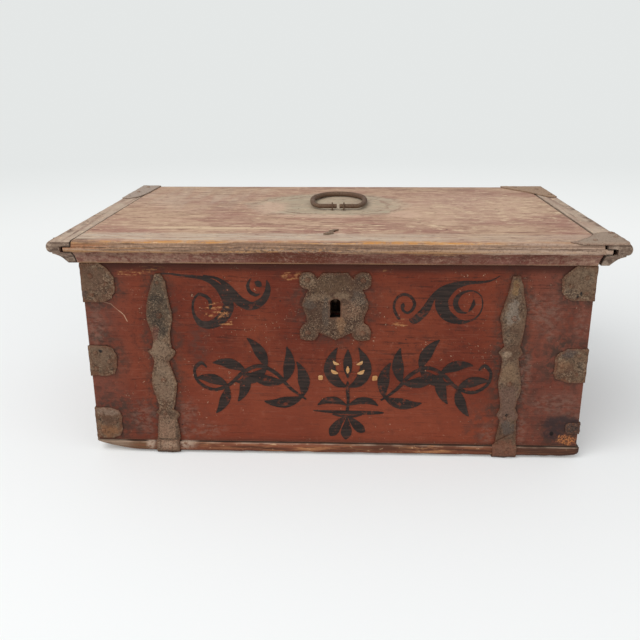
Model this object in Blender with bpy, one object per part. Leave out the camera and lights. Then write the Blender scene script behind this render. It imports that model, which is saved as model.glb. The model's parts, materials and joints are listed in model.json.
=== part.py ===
# Painted wooden casket: a board case bound with iron straps and corner irons, a moulded lid
# with end battens on strap hinges, a bail handle, and a lock whose bolt slides into a catch.
# Metres, +Z up, +Y towards the back. The origin is under the middle of the whole casket.

import bpy
import bmesh
from math import acos, asin, copysign, cos, pi, sin
from mathutils import Matrix, Vector

# Clearances
SEAT = 0.0003           # between pieces that touch
RUN = 0.0004            # round a piece that turns or slides
PAST = 0.002            # how far a cut runs past the face it starts from

# Case boards
CASE_WIDTH = 0.508
CASE_DEPTH = 0.318
WALL_HEIGHT = 0.196
WALL = 0.018
LAP = 0.009             # what the front and back boards leave over the ends of the side boards

# Bottom board
BOTTOM = 0.011
BOTTOM_LEDGE = 0.004    # how far it stands out past the walls
BOTTOM_ROUND = 0.0035   # rounding of its long edges
BOTTOM_CORNER = 0.006   # rounding of its corners, seen from above

# Lid boards
LID = 0.0245
FRONT_OVERHANG = 0.017
BACK_OVERHANG = 0.017
END_OVERHANG = 0.026
APRON_PROUD = 0.003     # how far the foot of the front moulding stands out past the front board
NOSE_REACH = 0.004
NOSE_HEIGHT = 0.012
OGEE_SWAY = 0.16
NOSE_STEPS = 8
OGEE_STEPS = 6
FILLET = 0.0012         # small upright step between the nose and the ogee

# Lid battens and their joints
BATTEN_WIDTH = 0.0235
BATTEN_FOOT = 0.008     # flat under a batten beside its joint
TONGUE = 0.0056
TONGUE_LENGTH = 0.008
TONGUE_DROP = 0.0055     # from the lid's top to the tongue
GROOVE_DEPTH = 0.011
CLOSED_JOINT = 0.0007   # the left-hand joint
OPEN_JOINT = 0.0025     # the right-hand joint has opened with age
BATTEN_PEG_RADIUS = 0.0016
BATTEN_PEG_INSET = 0.0025  # from the joint to the middle of a batten peg
BATTEN_PEG_DROP = 0.004  # from the lid's top to the end of a batten peg

# Nails
NAIL_RADIUS = 0.0012
NAIL_TIP = 0.0006
NAIL_HEAD = 0.0032
NAIL_CROWN = 0.0017
NAIL_HEAD_HEIGHT = 0.0013
NAIL_BITE = 0.012       # how deep a nail goes into the wood that it holds to
TACK_BITE = 0.006
NAIL_SIDES = 6

# Front straps
STRAP = 0.0016
STRAP_CROWN = 0.0006
STRAP_HALF = 0.0135     # half the width at a swelling
STRAP_TAIL_HALF = 0.0125
STRAP_INSET = 0.0757    # from the case's end to a strap's middle
STRAP_TOP_GAP = 0.011   # from the rim down to a strap's tip
STRAP_FOOT_RISE = 0.004  # where a strap leaves the wall, above the bottom board
STRAP_OUTLINES = {      # share of the height, then each edge as a share of STRAP_HALF
    "left": (
        (1.0, -0.12, 0.30), (0.96, -0.36, 0.62), (0.874, -0.74, 0.73), (0.784, -0.97, 0.94),
        (0.731, -0.98, 0.94), (0.663, -0.69, 0.73), (0.601, -0.60, 0.72), (0.563, -0.74, 0.78),
        (0.543, -1.10, 1.06), (0.520, -0.83, 0.95), (0.485, -0.62, 0.50), (0.429, -0.82, 0.67),
        (0.349, -1.0, 1.0), (0.285, -0.82, 0.89), (0.220, -0.58, 0.73), (0.183, -0.52, 0.60),
        (0.164, -0.84, 0.93), (0.150, -0.62, 1.10), (0.121, -0.67, 0.80), (0.071, -0.77, 0.92),
        (0.0, -0.85, 0.98)),
    "right": (
        (1.0, -0.34, 0.20), (0.948, -0.46, 0.46), (0.875, -0.66, 0.63), (0.802, -0.92, 0.85),
        (0.757, -1.06, 0.85), (0.713, -0.88, 0.80), (0.653, -0.77, 0.73), (0.592, -0.57, 0.60),
        (0.558, -0.96, 0.84), (0.531, -0.74, 0.58), (0.508, -0.67, 0.60), (0.462, -0.68, 0.70),
        (0.383, -0.84, 0.88), (0.328, -0.74, 0.94), (0.265, -0.58, 0.72), (0.217, -0.53, 0.62),
        (0.172, -0.77, 0.91), (0.136, -0.46, 0.76), (0.070, -0.60, 0.82), (0.0, -0.72, 0.90))}
STRAP_NAILS = {"upper": 0.76, "lower": 0.37}  # shares of the height

# Corner irons
CORNER = 0.0010
CORNER_LEG = 0.030
CORNER_HEIGHT = 0.034
CORNER_EDGE = 0.005     # from the rim to the rounded part of an upper corner iron
CORNER_TOP_GAP = 0.0006  # from the rim to its top
CORNER_FOOT = 0.002     # from the bottom board to a lower corner iron
CORNER_MIDDLE_RISE = 0.091
CORNER_SIZES = {        # leg and height of those that differ
    "front_left_upper": (0.032, 0.036), "front_left_middle": (0.0275, 0.034),
    "front_left_lower": (0.0275, 0.036), "front_right_upper": (0.032, 0.031),
    "front_right_middle": (0.032, 0.037), "front_right_lower": (0.0135, 0.013)}
CORNER_LIFTS = {"front_right_lower": 0.0125}  # only the upper end of this one is left
CORNER_OUTLINE = ((1.0, 0.42), (0.88, 0.80), (0.60, 1.0))  # share of the leg, share of the height

# Lock plate on the front, and its keyhole
ESCUTCHEON = 0.0015
ESCUTCHEON_HALF_WIDTH = 0.036
ESCUTCHEON_HALF_HEIGHT = 0.036
ESCUTCHEON_DROP = 0.0442  # from the rim to its middle
ESCUTCHEON_OUTLINE = (  # right half, clockwise from the top: shares of the half sizes
    (0.33, 0.98), (0.50, 0.80), (0.57, 0.93), (0.70, 1.0), (0.92, 0.98), (1.0, 0.85), (0.98, 0.62),
    (0.86, 0.52), (0.74, 0.50), (0.84, 0.30), (0.93, 0.10), (0.88, -0.10), (0.80, -0.30), (0.79, -0.46),
    (0.92, -0.55), (1.0, -0.70), (0.98, -0.95), (0.80, -1.0), (0.58, -0.98), (0.48, -0.86),
    (0.46, -0.75), (0.25, -0.86), (0.0, -0.98))
ESCUTCHEON_NAIL = 0.77  # share of the half sizes
KEYHOLE_RISE = 0.0035   # keyhole's round above the escutcheon's middle
KEYHOLE_RADIUS = 0.0048
KEYHOLE_HALF_SLOT = 0.0044
KEYHOLE_DROP = 0.0146   # from the middle of the round to the foot of the slot
KEYHOLE_EASE = 0.0008   # how much wider the hole in the wood is
KEYHOLE_STEPS = 8

# Lock on the inside of the front board, measured from the keyhole
LOCK_PLATE = 0.0018
LOCK_LEFT = 0.060
LOCK_RIGHT = 0.054
LOCK_UP = 0.034
LOCK_DOWN = 0.028
LOCK_FLANGE = 0.008
LOCK_DEPTH = 0.0165
LOCK_SHEET = 0.0013
BOLT = 0.004            # thickness
BOLT_STAND = 0.0085     # from the board's inside to the bolt
BOLT_LEFT = 0.048
BOLT_RIGHT = 0.030
BOLT_BAR_FOOT = 0.008
BOLT_BAR = 0.007        # height of the bar
BOLT_RISER = 0.008      # width of the riser
BOLT_HORN = 0.0068      # height of the horn
BOLT_HORN_LENGTH = 0.015
BOLT_HORN_GAP = 0.0015  # from the horn's tip to the catch when unlocked
BOLT_TALON = 0.010      # notch that the key pushes
BOLT_TALON_DEPTH = 0.0035
GUIDE = 0.0024
GUIDE_LENGTH = 0.005
GUIDE_LEFT = 0.0365     # from the keyhole to the middle of the left guide
GUIDE_RIGHT = 0.0245
SPRING = 0.0009
SPRING_HEEL = 0.005     # the end that is turned up against the cover
SPRING_TOUCH = 0.012    # from the keyhole to where it presses on the bolt
SPRING_RISE = 0.012
SPRING_STEPS = 5
KEY_PIN_RADIUS = 0.0018
KEY_PIN_HEAD = 0.0034
KEY_PIN_HEAD_HEIGHT = 0.0012
KEY_PIN_INSET = 0.009   # from the board's face to the pin's tip

# Catch under the lid, and the handle's staples
CATCH_OFFSET = 0.005    # how far left of the keyhole
CATCH_WIDTH = 0.005
CATCH_WIRE = 0.0024
CATCH_EASE = 0.0008     # round the bolt's horn
CATCH_SLANT = 1.0       # sideways turn of its clinched ends
STAPLE_WIDTH = 0.0046
STAPLE_WIRE = 0.0012
STAPLE_SPREAD = 0.0068  # from the casket's middle to a staple's middle
CLINCH = 0.0015         # thickness of a bent leg end
CLINCH_LENGTH = 0.005
ARCH_STEPS = 6

# Bail handle
BAIL_ROD = 0.0026       # radius in the staples
BAIL_GRIP = 0.0031      # radius at the grip
BAIL_WIDTH = 0.070      # over the outside
BAIL_REACH = 0.097      # from the pivot to the middle of the grip
BAIL_STRAIGHT = 0.020   # half of the straight run that turns in the staples
BAIL_GAP = 0.0016       # half of the gap between its ends
BAIL_PIVOT_RISE = 0.0045
BAIL_STEPS = 7
BAIL_PLACE = -0.002     # from the middle of the lid's depth

# Lid plates
PLATE = 0.0012
PLATE_LIP = 0.0065      # how far a back plate is folded down over the lid's edge
FRONT_LIP_STEPS = 2     # steps of the nose that the front plate is folded over
FRONT_LIP_TAPER = 0.006  # how much shorter the front plate is at each of them
PLATE_MARGIN = 0.003    # from a batten's nose to a plate's outer edge
PLATE_NAIL_MARGIN = 0.008
FRONT_PLATE = ((0.0, 0.058), (0.008, 0.050), (0.026, 0.034), (0.042, 0.024), (0.048, 0.014))
BACK_RIGHT_PLATE = ((0.0, 0.058), (0.012, 0.055), (0.040, 0.034), (0.070, 0.020), (0.086, 0.012))
BACK_LEFT_PLATE = ((0.0, 0.028), (0.060, 0.026), (0.092, 0.022), (0.104, 0.013))
# Each plate row: distance in from the lid's edge, distance in from the batten's nose

# Hinges
HINGE = 0.002
HINGE_HALF = 0.013
KNUCKLE = 0.004         # radius
HINGE_PIN = 0.002       # radius
HINGE_PIN_HEAD = 0.0034
HINGE_PIN_HEAD_HEIGHT = 0.0015
WALL_LEAF = 0.105       # length of the leaf on the back board
LID_LEAF = 0.150        # length of the leaf under the lid
LEAF_ROOT = 0.024       # full width of a leaf up to here, which clears the back board's notch
LEAF_OUTLINE = (        # share of the rest of the length, share of HINGE_HALF
    (0.12, 0.62), (0.50, 0.46), (0.66, 0.50), (0.80, 0.86), (0.88, 0.80), (1.0, 0.16))
LEAF_NAIL = 0.82        # share of the rest of the length
NOTCH_EASE = 0.0006     # round the lid leaf in the back board's rim
ROUND_SIDES = 12

# Places that follow from the sizes
CASE_HALF = CASE_WIDTH / 2
LID_HALF = CASE_HALF + END_OVERHANG
LID_DEPTH = CASE_DEPTH + FRONT_OVERHANG + BACK_OVERHANG
LID_FRONT = -LID_DEPTH / 2
LID_BACK = LID_DEPTH / 2
CASE_FRONT = LID_FRONT + FRONT_OVERHANG
CASE_BACK = LID_BACK - BACK_OVERHANG
INSIDE_FRONT = CASE_FRONT + WALL
BOTTOM_LOW = STRAP + SEAT
BOTTOM_TOP = BOTTOM_LOW + BOTTOM
WALL_LOW = BOTTOM_TOP + SEAT
RIM = WALL_LOW + WALL_HEIGHT
LID_LOW = RIM + SEAT
LID_TOP = LID_LOW + LID
JOINT = LID_HALF - BATTEN_WIDTH
TONGUE_TOP = LID_TOP - TONGUE_DROP
TONGUE_LOW = TONGUE_TOP - TONGUE
STRAP_X = CASE_HALF - STRAP_INSET
HINGE_Y = CASE_BACK + SEAT + KNUCKLE
HINGE_Z = LID_LOW - SEAT - KNUCKLE
KEY_Z = RIM - ESCUTCHEON_DROP + KEYHOLE_RISE
BOLT_LOW_Y = INSIDE_FRONT + BOLT_STAND
BOLT_MIDDLE_Y = BOLT_LOW_Y + BOLT / 2
BOLT_TOP = KEY_Z + BOLT_BAR_FOOT + BOLT_BAR
CATCH_ARCH = BOLT / 2 + CATCH_EASE
CATCH_Z = BOLT_TOP + SEAT + RUN + CATCH_WIRE + CATCH_ARCH
HORN_LOW = CATCH_Z + RUN
HORN_TIP = -CATCH_OFFSET - CATCH_WIDTH / 2 - BOLT_HORN_GAP
BAIL_Z = LID_TOP + BAIL_PIVOT_RISE
BAIL_TILT = asin((BAIL_PIVOT_RISE - BAIL_GRIP - SEAT) / BAIL_REACH)

X_AXIS = Vector((1, 0, 0))
Y_AXIS = Vector((0, 1, 0))
Z_AXIS = Vector((0, 0, 1))
SIDES = {"left": -1, "right": 1}
ENDS = {"front": -1, "back": 1}


# Scene helpers

def clear_scene():
    for thing in list(bpy.data.objects):
        bpy.data.objects.remove(thing, do_unlink=True)


def make_material(name, colour, roughness, metallic):
    material = bpy.data.materials.new(name)
    material.use_nodes = True
    shader = material.node_tree.nodes["Principled BSDF"]
    shader.inputs["Base Color"].default_value = (*colour, 1)
    shader.inputs["Roughness"].default_value = roughness
    shader.inputs["Metallic"].default_value = metallic
    return material


def place(thing, material, pivot):
    bpy.context.scene.collection.objects.link(thing)
    if material:
        thing.data.materials.append(material)
    if pivot:
        thing.parent = pivot
        thing.matrix_parent_inverse = Matrix.Translation(-Vector(pivot["place"]))
    return thing


def mesh_object(name, shape, material, pivot=None, smooth=False):
    bmesh.ops.recalc_face_normals(shape, faces=shape.faces)
    mesh = bpy.data.meshes.new(name)
    shape.to_mesh(mesh)
    shape.free()
    if smooth:
        mesh.shade_smooth()
        mesh.set_sharp_from_angle(angle=pi / 5)
    return place(bpy.data.objects.new(name, mesh), material, pivot)


def make_pivot(name, at, carrier=None):
    pivot = bpy.data.objects.new(name, None)
    bpy.context.scene.collection.objects.link(pivot)
    pivot["place"] = at
    pivot.location = at
    if carrier:
        pivot.parent = carrier
        pivot.location = Vector(at) - Vector(carrier["place"])
    return pivot


def make_cutter(name, shape):
    cutter = mesh_object(name, shape, None)
    cutter.hide_render = True
    cutter.display_type = 'WIRE'
    return cutter


def boolean(target, tool, operation='DIFFERENCE'):
    modifier = target.modifiers.new(tool.name, 'BOOLEAN')
    modifier.operation = operation
    modifier.solver = 'EXACT'
    modifier.object = tool


# Shape helpers

def add_rings(shape, rings):
    loops = [[shape.verts.new(point) for point in ring] for ring in rings]
    for low, high in zip(loops, loops[1:]):
        for index in range(len(low)):
            after = (index + 1) % len(low)
            shape.faces.new((low[index], low[after], high[after], high[index]))
    shape.faces.new(loops[0])
    shape.faces.new(loops[-1])


def add_prism(shape, outline, axis, low, high):
    # An outline given in the two other axes, in X, Y, Z order, run from low to high along axis
    spread = [other for other in (X_AXIS, Y_AXIS, Z_AXIS) if other != axis]
    base = [spread[0] * point[0] + spread[1] * point[1] for point in outline]
    add_rings(shape, [[point + axis * level for point in base] for level in (low, high)])


def add_box(shape, low, high):
    outline = ((low[0], low[1]), (high[0], low[1]), (high[0], high[1]), (low[0], high[1]))
    add_prism(shape, outline, Z_AXIS, low[2], high[2])


def prism(outline, axis, low, high):
    shape = bmesh.new()
    add_prism(shape, outline, axis, low, high)
    return shape


def ring(centre, along, radius, sides):
    # Points of a circle round a line along one of the axes, with flats facing the other axes
    first = Z_AXIS if abs(along.z) < 0.5 else X_AXIS
    second = along.cross(first)
    points = []
    for index in range(sides):
        turn = 2 * pi * (index + 0.5) / sides
        points.append(centre + first * radius * cos(turn) + second * radius * sin(turn))
    return points


def add_turned(shape, base, along, steps, sides):
    # A turned piece: each step is a distance along the line and a radius there
    add_rings(shape, [ring(base + along * reach, along, radius, sides) for reach, radius in steps])


def add_ribbon(shape, stations, across, thickness, crown=0.0):
    # A bent strip of sheet: each station is a point on its back, the way out, and its two edges
    rings = []
    for point, outward, low, high in stations:
        near, far = point + across * low, point + across * high
        section = [near, far, far + outward * thickness]
        if crown:
            section.append((near + far) / 2 + outward * (thickness + crown))
        section.append(near + outward * thickness)
        rings.append(section)
    add_rings(shape, rings)


def make_nail(name, seat, outward, depth, iron, cut_pieces, pivot=None):
    # A nail whose head sits on a face, and its hole in the pieces that it goes through
    base = seat + outward * SEAT
    steps = ((NAIL_HEAD_HEIGHT, NAIL_CROWN), (0.0, NAIL_HEAD), (0.0, NAIL_RADIUS))
    steps += ((-depth - SEAT, NAIL_TIP),)
    shape = bmesh.new()
    add_turned(shape, base, outward, steps, NAIL_SIDES)
    mesh_object(name, shape, iron, pivot)
    bore = NAIL_RADIUS + SEAT / cos(pi / NAIL_SIDES)
    hole = bmesh.new()
    add_turned(hole, base, outward, ((PAST, bore), (-depth - 2 * SEAT, bore)), NAIL_SIDES)
    cutter = make_cutter(name + "_hole", hole)
    for piece in cut_pieces:
        boolean(piece, cutter)


# Case boards

def make_walls(paint):
    shoulder = CASE_HALF - WALL - SEAT
    walls = {}
    for name, end in ENDS.items():
        face = CASE_FRONT if name == "front" else CASE_BACK
        lap, back = face - end * LAP, face - end * WALL
        outline = [(CASE_HALF, face), (CASE_HALF, lap), (shoulder, lap), (shoulder, back)]
        outline += [(-x, y) for x, y in reversed(outline)]
        walls[name] = mesh_object(name + "_board", prism(outline, Z_AXIS, WALL_LOW, RIM), paint)
    for name, side in SIDES.items():
        shape = bmesh.new()
        inner, outer = sorted((side * (CASE_HALF - WALL), side * CASE_HALF))
        add_box(shape, (inner, CASE_FRONT + LAP + SEAT, WALL_LOW), (outer, CASE_BACK - LAP - SEAT, RIM))
        walls[name] = mesh_object(name + "_end_board", shape, paint)
    return walls


def make_bottom(paint):
    half_x = CASE_HALF + BOTTOM_LEDGE
    half_y = CASE_DEPTH / 2 + BOTTOM_LEDGE
    middle_y = (CASE_FRONT + CASE_BACK) / 2
    steps = 2
    levels = []
    for step in range(steps + 1):
        turn = pi / 2 * step / steps
        levels.append((BOTTOM_ROUND * (1 - sin(turn)), BOTTOM_ROUND * (1 - cos(turn))))
    levels += [(inset, BOTTOM - rise) for inset, rise in reversed(levels)]
    rings = []
    for inset, rise in levels:
        loop = []
        for quarter in range(4):
            for step in range(steps + 1):
                turn = pi / 2 * (quarter + step / steps)
                corner_x = (half_x - BOTTOM_CORNER) * (1 if quarter in (0, 3) else -1)
                corner_y = (half_y - BOTTOM_CORNER) * (1 if quarter in (0, 1) else -1)
                reach = BOTTOM_CORNER - inset
                loop.append(Vector((corner_x + reach * cos(turn), middle_y + corner_y + reach * sin(turn),
                                    BOTTOM_LOW + rise)))
        rings.append(loop)
    shape = bmesh.new()
    add_rings(shape, rings)
    return mesh_object("bottom_board", shape, paint)


# Lid boards

def edge_profile(run):
    # A moulded edge: distance in from the nose, depth below the top
    points = []
    for step in range(NOSE_STEPS + 1):
        turn = pi * step / NOSE_STEPS
        points.append((NOSE_REACH * (1 - sin(turn)), NOSE_HEIGHT / 2 * (1 - cos(turn))))
    for step in range(OGEE_STEPS + 1):
        share = step / OGEE_STEPS
        drop = share - OGEE_SWAY * sin(pi * share)
        top = NOSE_HEIGHT + FILLET
        points.append((NOSE_REACH + (run - NOSE_REACH) * share, top + (LID - top) * drop))
    return points


def front_profile():
    run = FRONT_OVERHANG - APRON_PROUD
    return [(LID_FRONT + inset, LID_TOP - depth) for inset, depth in edge_profile(run)]


def make_lid_board(wood, pivot):
    outline = front_profile() + [(LID_BACK, LID_LOW), (LID_BACK, LID_TOP)]
    left, right = -JOINT + CLOSED_JOINT, JOINT - OPEN_JOINT
    board = mesh_object("lid_board", prism(outline, X_AXIS, left - TONGUE_LENGTH, right + TONGUE_LENGTH),
                        wood, pivot)
    shoulders = bmesh.new()
    for near, far in ((left, left - TONGUE_LENGTH - PAST), (right, right + TONGUE_LENGTH + PAST)):
        low_x, high_x = sorted((near, far))
        for low, high in ((TONGUE_TOP, LID_TOP + PAST), (LID_LOW - PAST, TONGUE_LOW)):
            add_box(shoulders, (low_x, LID_FRONT - PAST, low), (high_x, LID_BACK + PAST, high))
    boolean(board, make_cutter("lid_board_shoulders", shoulders))
    return board


def make_battens(wood, pivot):
    ends = front_profile()
    ends = [(ends[0][0], LID_TOP + PAST)] + ends + [(ends[-1][0], LID_LOW - PAST)]
    ends += [(LID_BACK, LID_LOW - PAST), (LID_BACK, LID_TOP + PAST)]
    trim = make_cutter("batten_ends", prism(ends, X_AXIS, -LID_HALF - PAST, LID_HALF + PAST))
    groove = JOINT + GROOVE_DEPTH
    battens = {}
    for name, side in SIDES.items():
        profile = edge_profile(BATTEN_WIDTH - BATTEN_FOOT)
        outline = [(LID_HALF - inset, LID_TOP - depth) for inset, depth in profile]
        outline += [(JOINT, LID_LOW), (JOINT, TONGUE_LOW - SEAT), (groove, TONGUE_LOW - SEAT)]
        outline += [(groove, TONGUE_TOP + SEAT), (JOINT, TONGUE_TOP + SEAT), (JOINT, LID_TOP)]
        outline = [(side * x, z) for x, z in outline]
        shape = prism(outline, Y_AXIS, LID_FRONT - PAST, LID_BACK + PAST)
        battens[name] = mesh_object(name + "_batten", shape, wood, pivot)
        boolean(battens[name], trim, 'INTERSECT')
    return battens


def make_batten_pegs(board, battens, wood, pivot):
    depth = LID - BATTEN_PEG_DROP
    bore = BATTEN_PEG_RADIUS + SEAT / cos(pi / 8)
    for name, side in SIDES.items():
        base = Vector((side * (JOINT + BATTEN_PEG_INSET), 0.0, LID_LOW))
        peg, hole = bmesh.new(), bmesh.new()
        add_turned(peg, base, Z_AXIS, ((0.0, BATTEN_PEG_RADIUS), (depth, BATTEN_PEG_RADIUS)), 8)
        mesh_object(name + "_batten_peg", peg, wood, pivot)
        add_turned(hole, base, Z_AXIS, ((-PAST, bore), (depth + SEAT, bore)), 8)
        cutter = make_cutter(name + "_batten_peg_hole", hole)
        boolean(board, cutter)
        boolean(battens[name], cutter)


# Iron straps and corner irons

def strap_height(share):
    foot = BOTTOM_TOP + STRAP_FOOT_RISE
    return foot + share * (RIM - STRAP_TOP_GAP - foot)


def strap_stations(name):
    x = SIDES[name] * STRAP_X
    stations = []
    for share, low, high in STRAP_OUTLINES[name]:
        point = Vector((x, CASE_FRONT - SEAT, strap_height(share)))
        stations.append((point, -Y_AXIS, low * STRAP_HALF, high * STRAP_HALF))
    under, over = BOTTOM_LOW + BOTTOM_ROUND, BOTTOM_TOP - BOTTOM_ROUND
    front = CASE_FRONT - BOTTOM_LEDGE + BOTTOM_ROUND
    back = CASE_BACK + BOTTOM_LEDGE - BOTTOM_ROUND
    # Over the ledge, down its edge, under the bottom board and up its back edge
    turns = [(front, over, 70), (front, over, 35), (front, over, 0), (front, under, 0)]
    turns += [(front, under, -35), (front, under, -65), (front, under, -90), (back, under, -90)]
    turns += [(back, under, -115), (back, under, -145), (back, under, 180), (back, over, 180)]
    for y, z, turn in turns:
        outward = Vector((0, -cos(turn * pi / 180), sin(turn * pi / 180)))
        point = Vector((x, y, z)) + outward * (BOTTOM_ROUND + SEAT)
        stations.append((point, outward, -STRAP_TAIL_HALF, STRAP_TAIL_HALF))
    return stations


def make_straps(front_board, iron):
    for name, side in SIDES.items():
        shape = bmesh.new()
        add_ribbon(shape, strap_stations(name), X_AXIS, STRAP, STRAP_CROWN)
        # The crown would lift the tail off the ground, so the strap is flat below
        flat = BOTTOM_LOW - SEAT - STRAP
        for vertex in shape.verts:
            vertex.co.z = max(vertex.co.z, flat)
        strap = mesh_object(name + "_front_strap", shape, iron)
        for level, share in STRAP_NAILS.items():
            seat = Vector((side * STRAP_X, CASE_FRONT - SEAT - STRAP - STRAP_CROWN, strap_height(share)))
            depth = STRAP_CROWN + STRAP + SEAT + NAIL_BITE
            nail = "_".join((name, "strap", level, "nail"))
            make_nail(nail, seat, -Y_AXIS, depth, iron, [front_board, strap])


def corner_stations(side, end, level, length, height, top):
    def point(along_x, along_y):
        middle_y = (CASE_FRONT + CASE_BACK) / 2
        reach = Vector((CASE_HALF + along_x, CASE_DEPTH / 2 + along_y, 0))
        return Vector((side * reach.x, middle_y + end * reach.y, level))
    half = height / 2
    face, flank = [], []
    for leg, rise in CORNER_OUTLINE:
        low, high = -half * rise, top if rise == 1.0 else half * rise
        face.append((point(-leg * length, SEAT), end * Y_AXIS, low, high))
        flank.append((point(SEAT, -leg * length), side * X_AXIS, low, high))
    corner = (point(SEAT, SEAT), side * X_AXIS + end * Y_AXIS, -half, top)
    return face + [corner] + flank[::-1]


def make_corner_irons(iron):
    for end_name, end in ENDS.items():
        for side_name, side in SIDES.items():
            for level_name in ("upper", "middle", "lower"):
                name = "_".join((end_name, side_name, level_name))
                length, height = CORNER_SIZES.get(name, (CORNER_LEG, CORNER_HEIGHT))
                if level_name == "upper":
                    level = RIM - CORNER_EDGE - height / 2
                elif level_name == "lower":
                    level = WALL_LOW + CORNER_FOOT + height / 2 + CORNER_LIFTS.get(name, 0)
                else:
                    level = WALL_LOW + CORNER_MIDDLE_RISE
                top = RIM - CORNER_TOP_GAP - level if level_name == "upper" else height / 2
                shape = bmesh.new()
                add_ribbon(shape, corner_stations(side, end, level, length, height, top), Z_AXIS, CORNER)
                mesh_object(name + "_corner_iron", shape, iron)


# Lock plate and keyhole

def keyhole_outline(ease):
    radius, half = KEYHOLE_RADIUS + ease, KEYHOLE_HALF_SLOT + ease
    start = -acos(half / radius)
    points = [(-half, KEY_Z - KEYHOLE_DROP - ease), (half, KEY_Z - KEYHOLE_DROP - ease)]
    for step in range(KEYHOLE_STEPS + 1):
        turn = start + (pi - 2 * start) * step / KEYHOLE_STEPS
        points.append((radius * cos(turn), KEY_Z + radius * sin(turn)))
    return points


def make_escutcheon(front_board, iron):
    middle = RIM - ESCUTCHEON_DROP
    right = [(x * ESCUTCHEON_HALF_WIDTH, middle + z * ESCUTCHEON_HALF_HEIGHT) for x, z in ESCUTCHEON_OUTLINE]
    outline = right + [(-x, z) for x, z in reversed(right) if x > 0]
    front = CASE_FRONT - SEAT - ESCUTCHEON
    plate = mesh_object("escutcheon", prism(outline, Y_AXIS, front, CASE_FRONT - SEAT), iron)
    through = prism(keyhole_outline(0.0), Y_AXIS, front - PAST, CASE_FRONT + PAST)
    boolean(plate, make_cutter("keyhole", through))
    through = prism(keyhole_outline(KEYHOLE_EASE), Y_AXIS, CASE_FRONT - PAST, INSIDE_FRONT + PAST)
    boolean(front_board, make_cutter("keyhole_in_wood", through))
    for side_name, side in SIDES.items():
        for level, rise in (("upper", 1), ("lower", -1)):
            seat = Vector((side * ESCUTCHEON_NAIL * ESCUTCHEON_HALF_WIDTH, front,
                           middle + rise * ESCUTCHEON_NAIL * ESCUTCHEON_HALF_HEIGHT))
            name = "_".join(("escutcheon", level, side_name, "nail"))
            make_nail(name, seat, -Y_AXIS, ESCUTCHEON + SEAT + NAIL_BITE, iron, [front_board, plate])


# Lock

def make_lock_body(iron):
    low, high = KEY_Z - LOCK_DOWN, KEY_Z + LOCK_UP
    back = INSIDE_FRONT + SEAT
    face = back + LOCK_PLATE
    outline = ((-LOCK_LEFT, low), (LOCK_RIGHT, low), (LOCK_RIGHT, high), (-LOCK_LEFT, high))
    plate = mesh_object("lock_plate", prism(outline, Y_AXIS, back, face), iron)
    through = prism(keyhole_outline(0.0), Y_AXIS, back - PAST, face + PAST)
    boolean(plate, make_cutter("keyhole_in_lock", through))
    seat = face + SEAT
    sheet, roof = seat + LOCK_SHEET, seat + LOCK_DEPTH
    left, right = -LOCK_LEFT + LOCK_FLANGE, LOCK_RIGHT - LOCK_FLANGE
    hat = [(-LOCK_LEFT, seat), (left + LOCK_SHEET, seat), (left + LOCK_SHEET, roof - LOCK_SHEET)]
    hat += [(right - LOCK_SHEET, roof - LOCK_SHEET), (right - LOCK_SHEET, seat), (LOCK_RIGHT, seat)]
    hat += [(LOCK_RIGHT, sheet), (right, sheet), (right, roof)]
    hat += [(left, roof), (left, sheet), (-LOCK_LEFT, sheet)]
    cover = mesh_object("lock_cover", prism(hat, Z_AXIS, low, high), iron)
    make_key_pin(cover, roof, iron)
    make_bolt_guide(seat, iron)
    make_spring(iron)


def make_key_pin(cover, roof, iron):
    tip = CASE_FRONT + KEY_PIN_INSET - roof
    steps = ((SEAT + KEY_PIN_HEAD_HEIGHT, KEY_PIN_HEAD), (SEAT, KEY_PIN_HEAD), (SEAT, KEY_PIN_RADIUS))
    base = Vector((0, roof, KEY_Z))
    pin = bmesh.new()
    add_turned(pin, base, Y_AXIS, steps + ((tip, KEY_PIN_RADIUS),), ROUND_SIDES)
    mesh_object("key_pin", pin, iron, smooth=True)
    hole = bmesh.new()
    bore = KEY_PIN_RADIUS + SEAT / cos(pi / ROUND_SIDES)
    add_turned(hole, base, Y_AXIS, ((-LOCK_SHEET - PAST, bore), (PAST, bore)), ROUND_SIDES)
    boolean(cover, make_cutter("key_pin_hole", hole))


def make_bolt_guide(seat, iron):
    # A strip on the lock plate with an eye for the bolt at each end
    low, high = KEY_Z + BOLT_BAR_FOOT - RUN - GUIDE, BOLT_TOP + RUN + GUIDE
    left, right = -GUIDE_LEFT - GUIDE_LENGTH / 2, GUIDE_RIGHT + GUIDE_LENGTH / 2
    back = BOLT_LOW_Y + BOLT + RUN + GUIDE
    strip = seat + GUIDE
    outline = [(left, seat), (right, seat), (right, back), (right - GUIDE_LENGTH, back)]
    outline += [(right - GUIDE_LENGTH, strip), (left + GUIDE_LENGTH, strip)]
    outline += [(left + GUIDE_LENGTH, back), (left, back)]
    guide = mesh_object("bolt_guide", prism(outline, Z_AXIS, low, high), iron)
    window = bmesh.new()
    add_box(window, (left - PAST, BOLT_LOW_Y - RUN, low + GUIDE),
            (right + PAST, BOLT_LOW_Y + BOLT + RUN, high - GUIDE))
    boolean(guide, make_cutter("bolt_guide_window", window))


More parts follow.
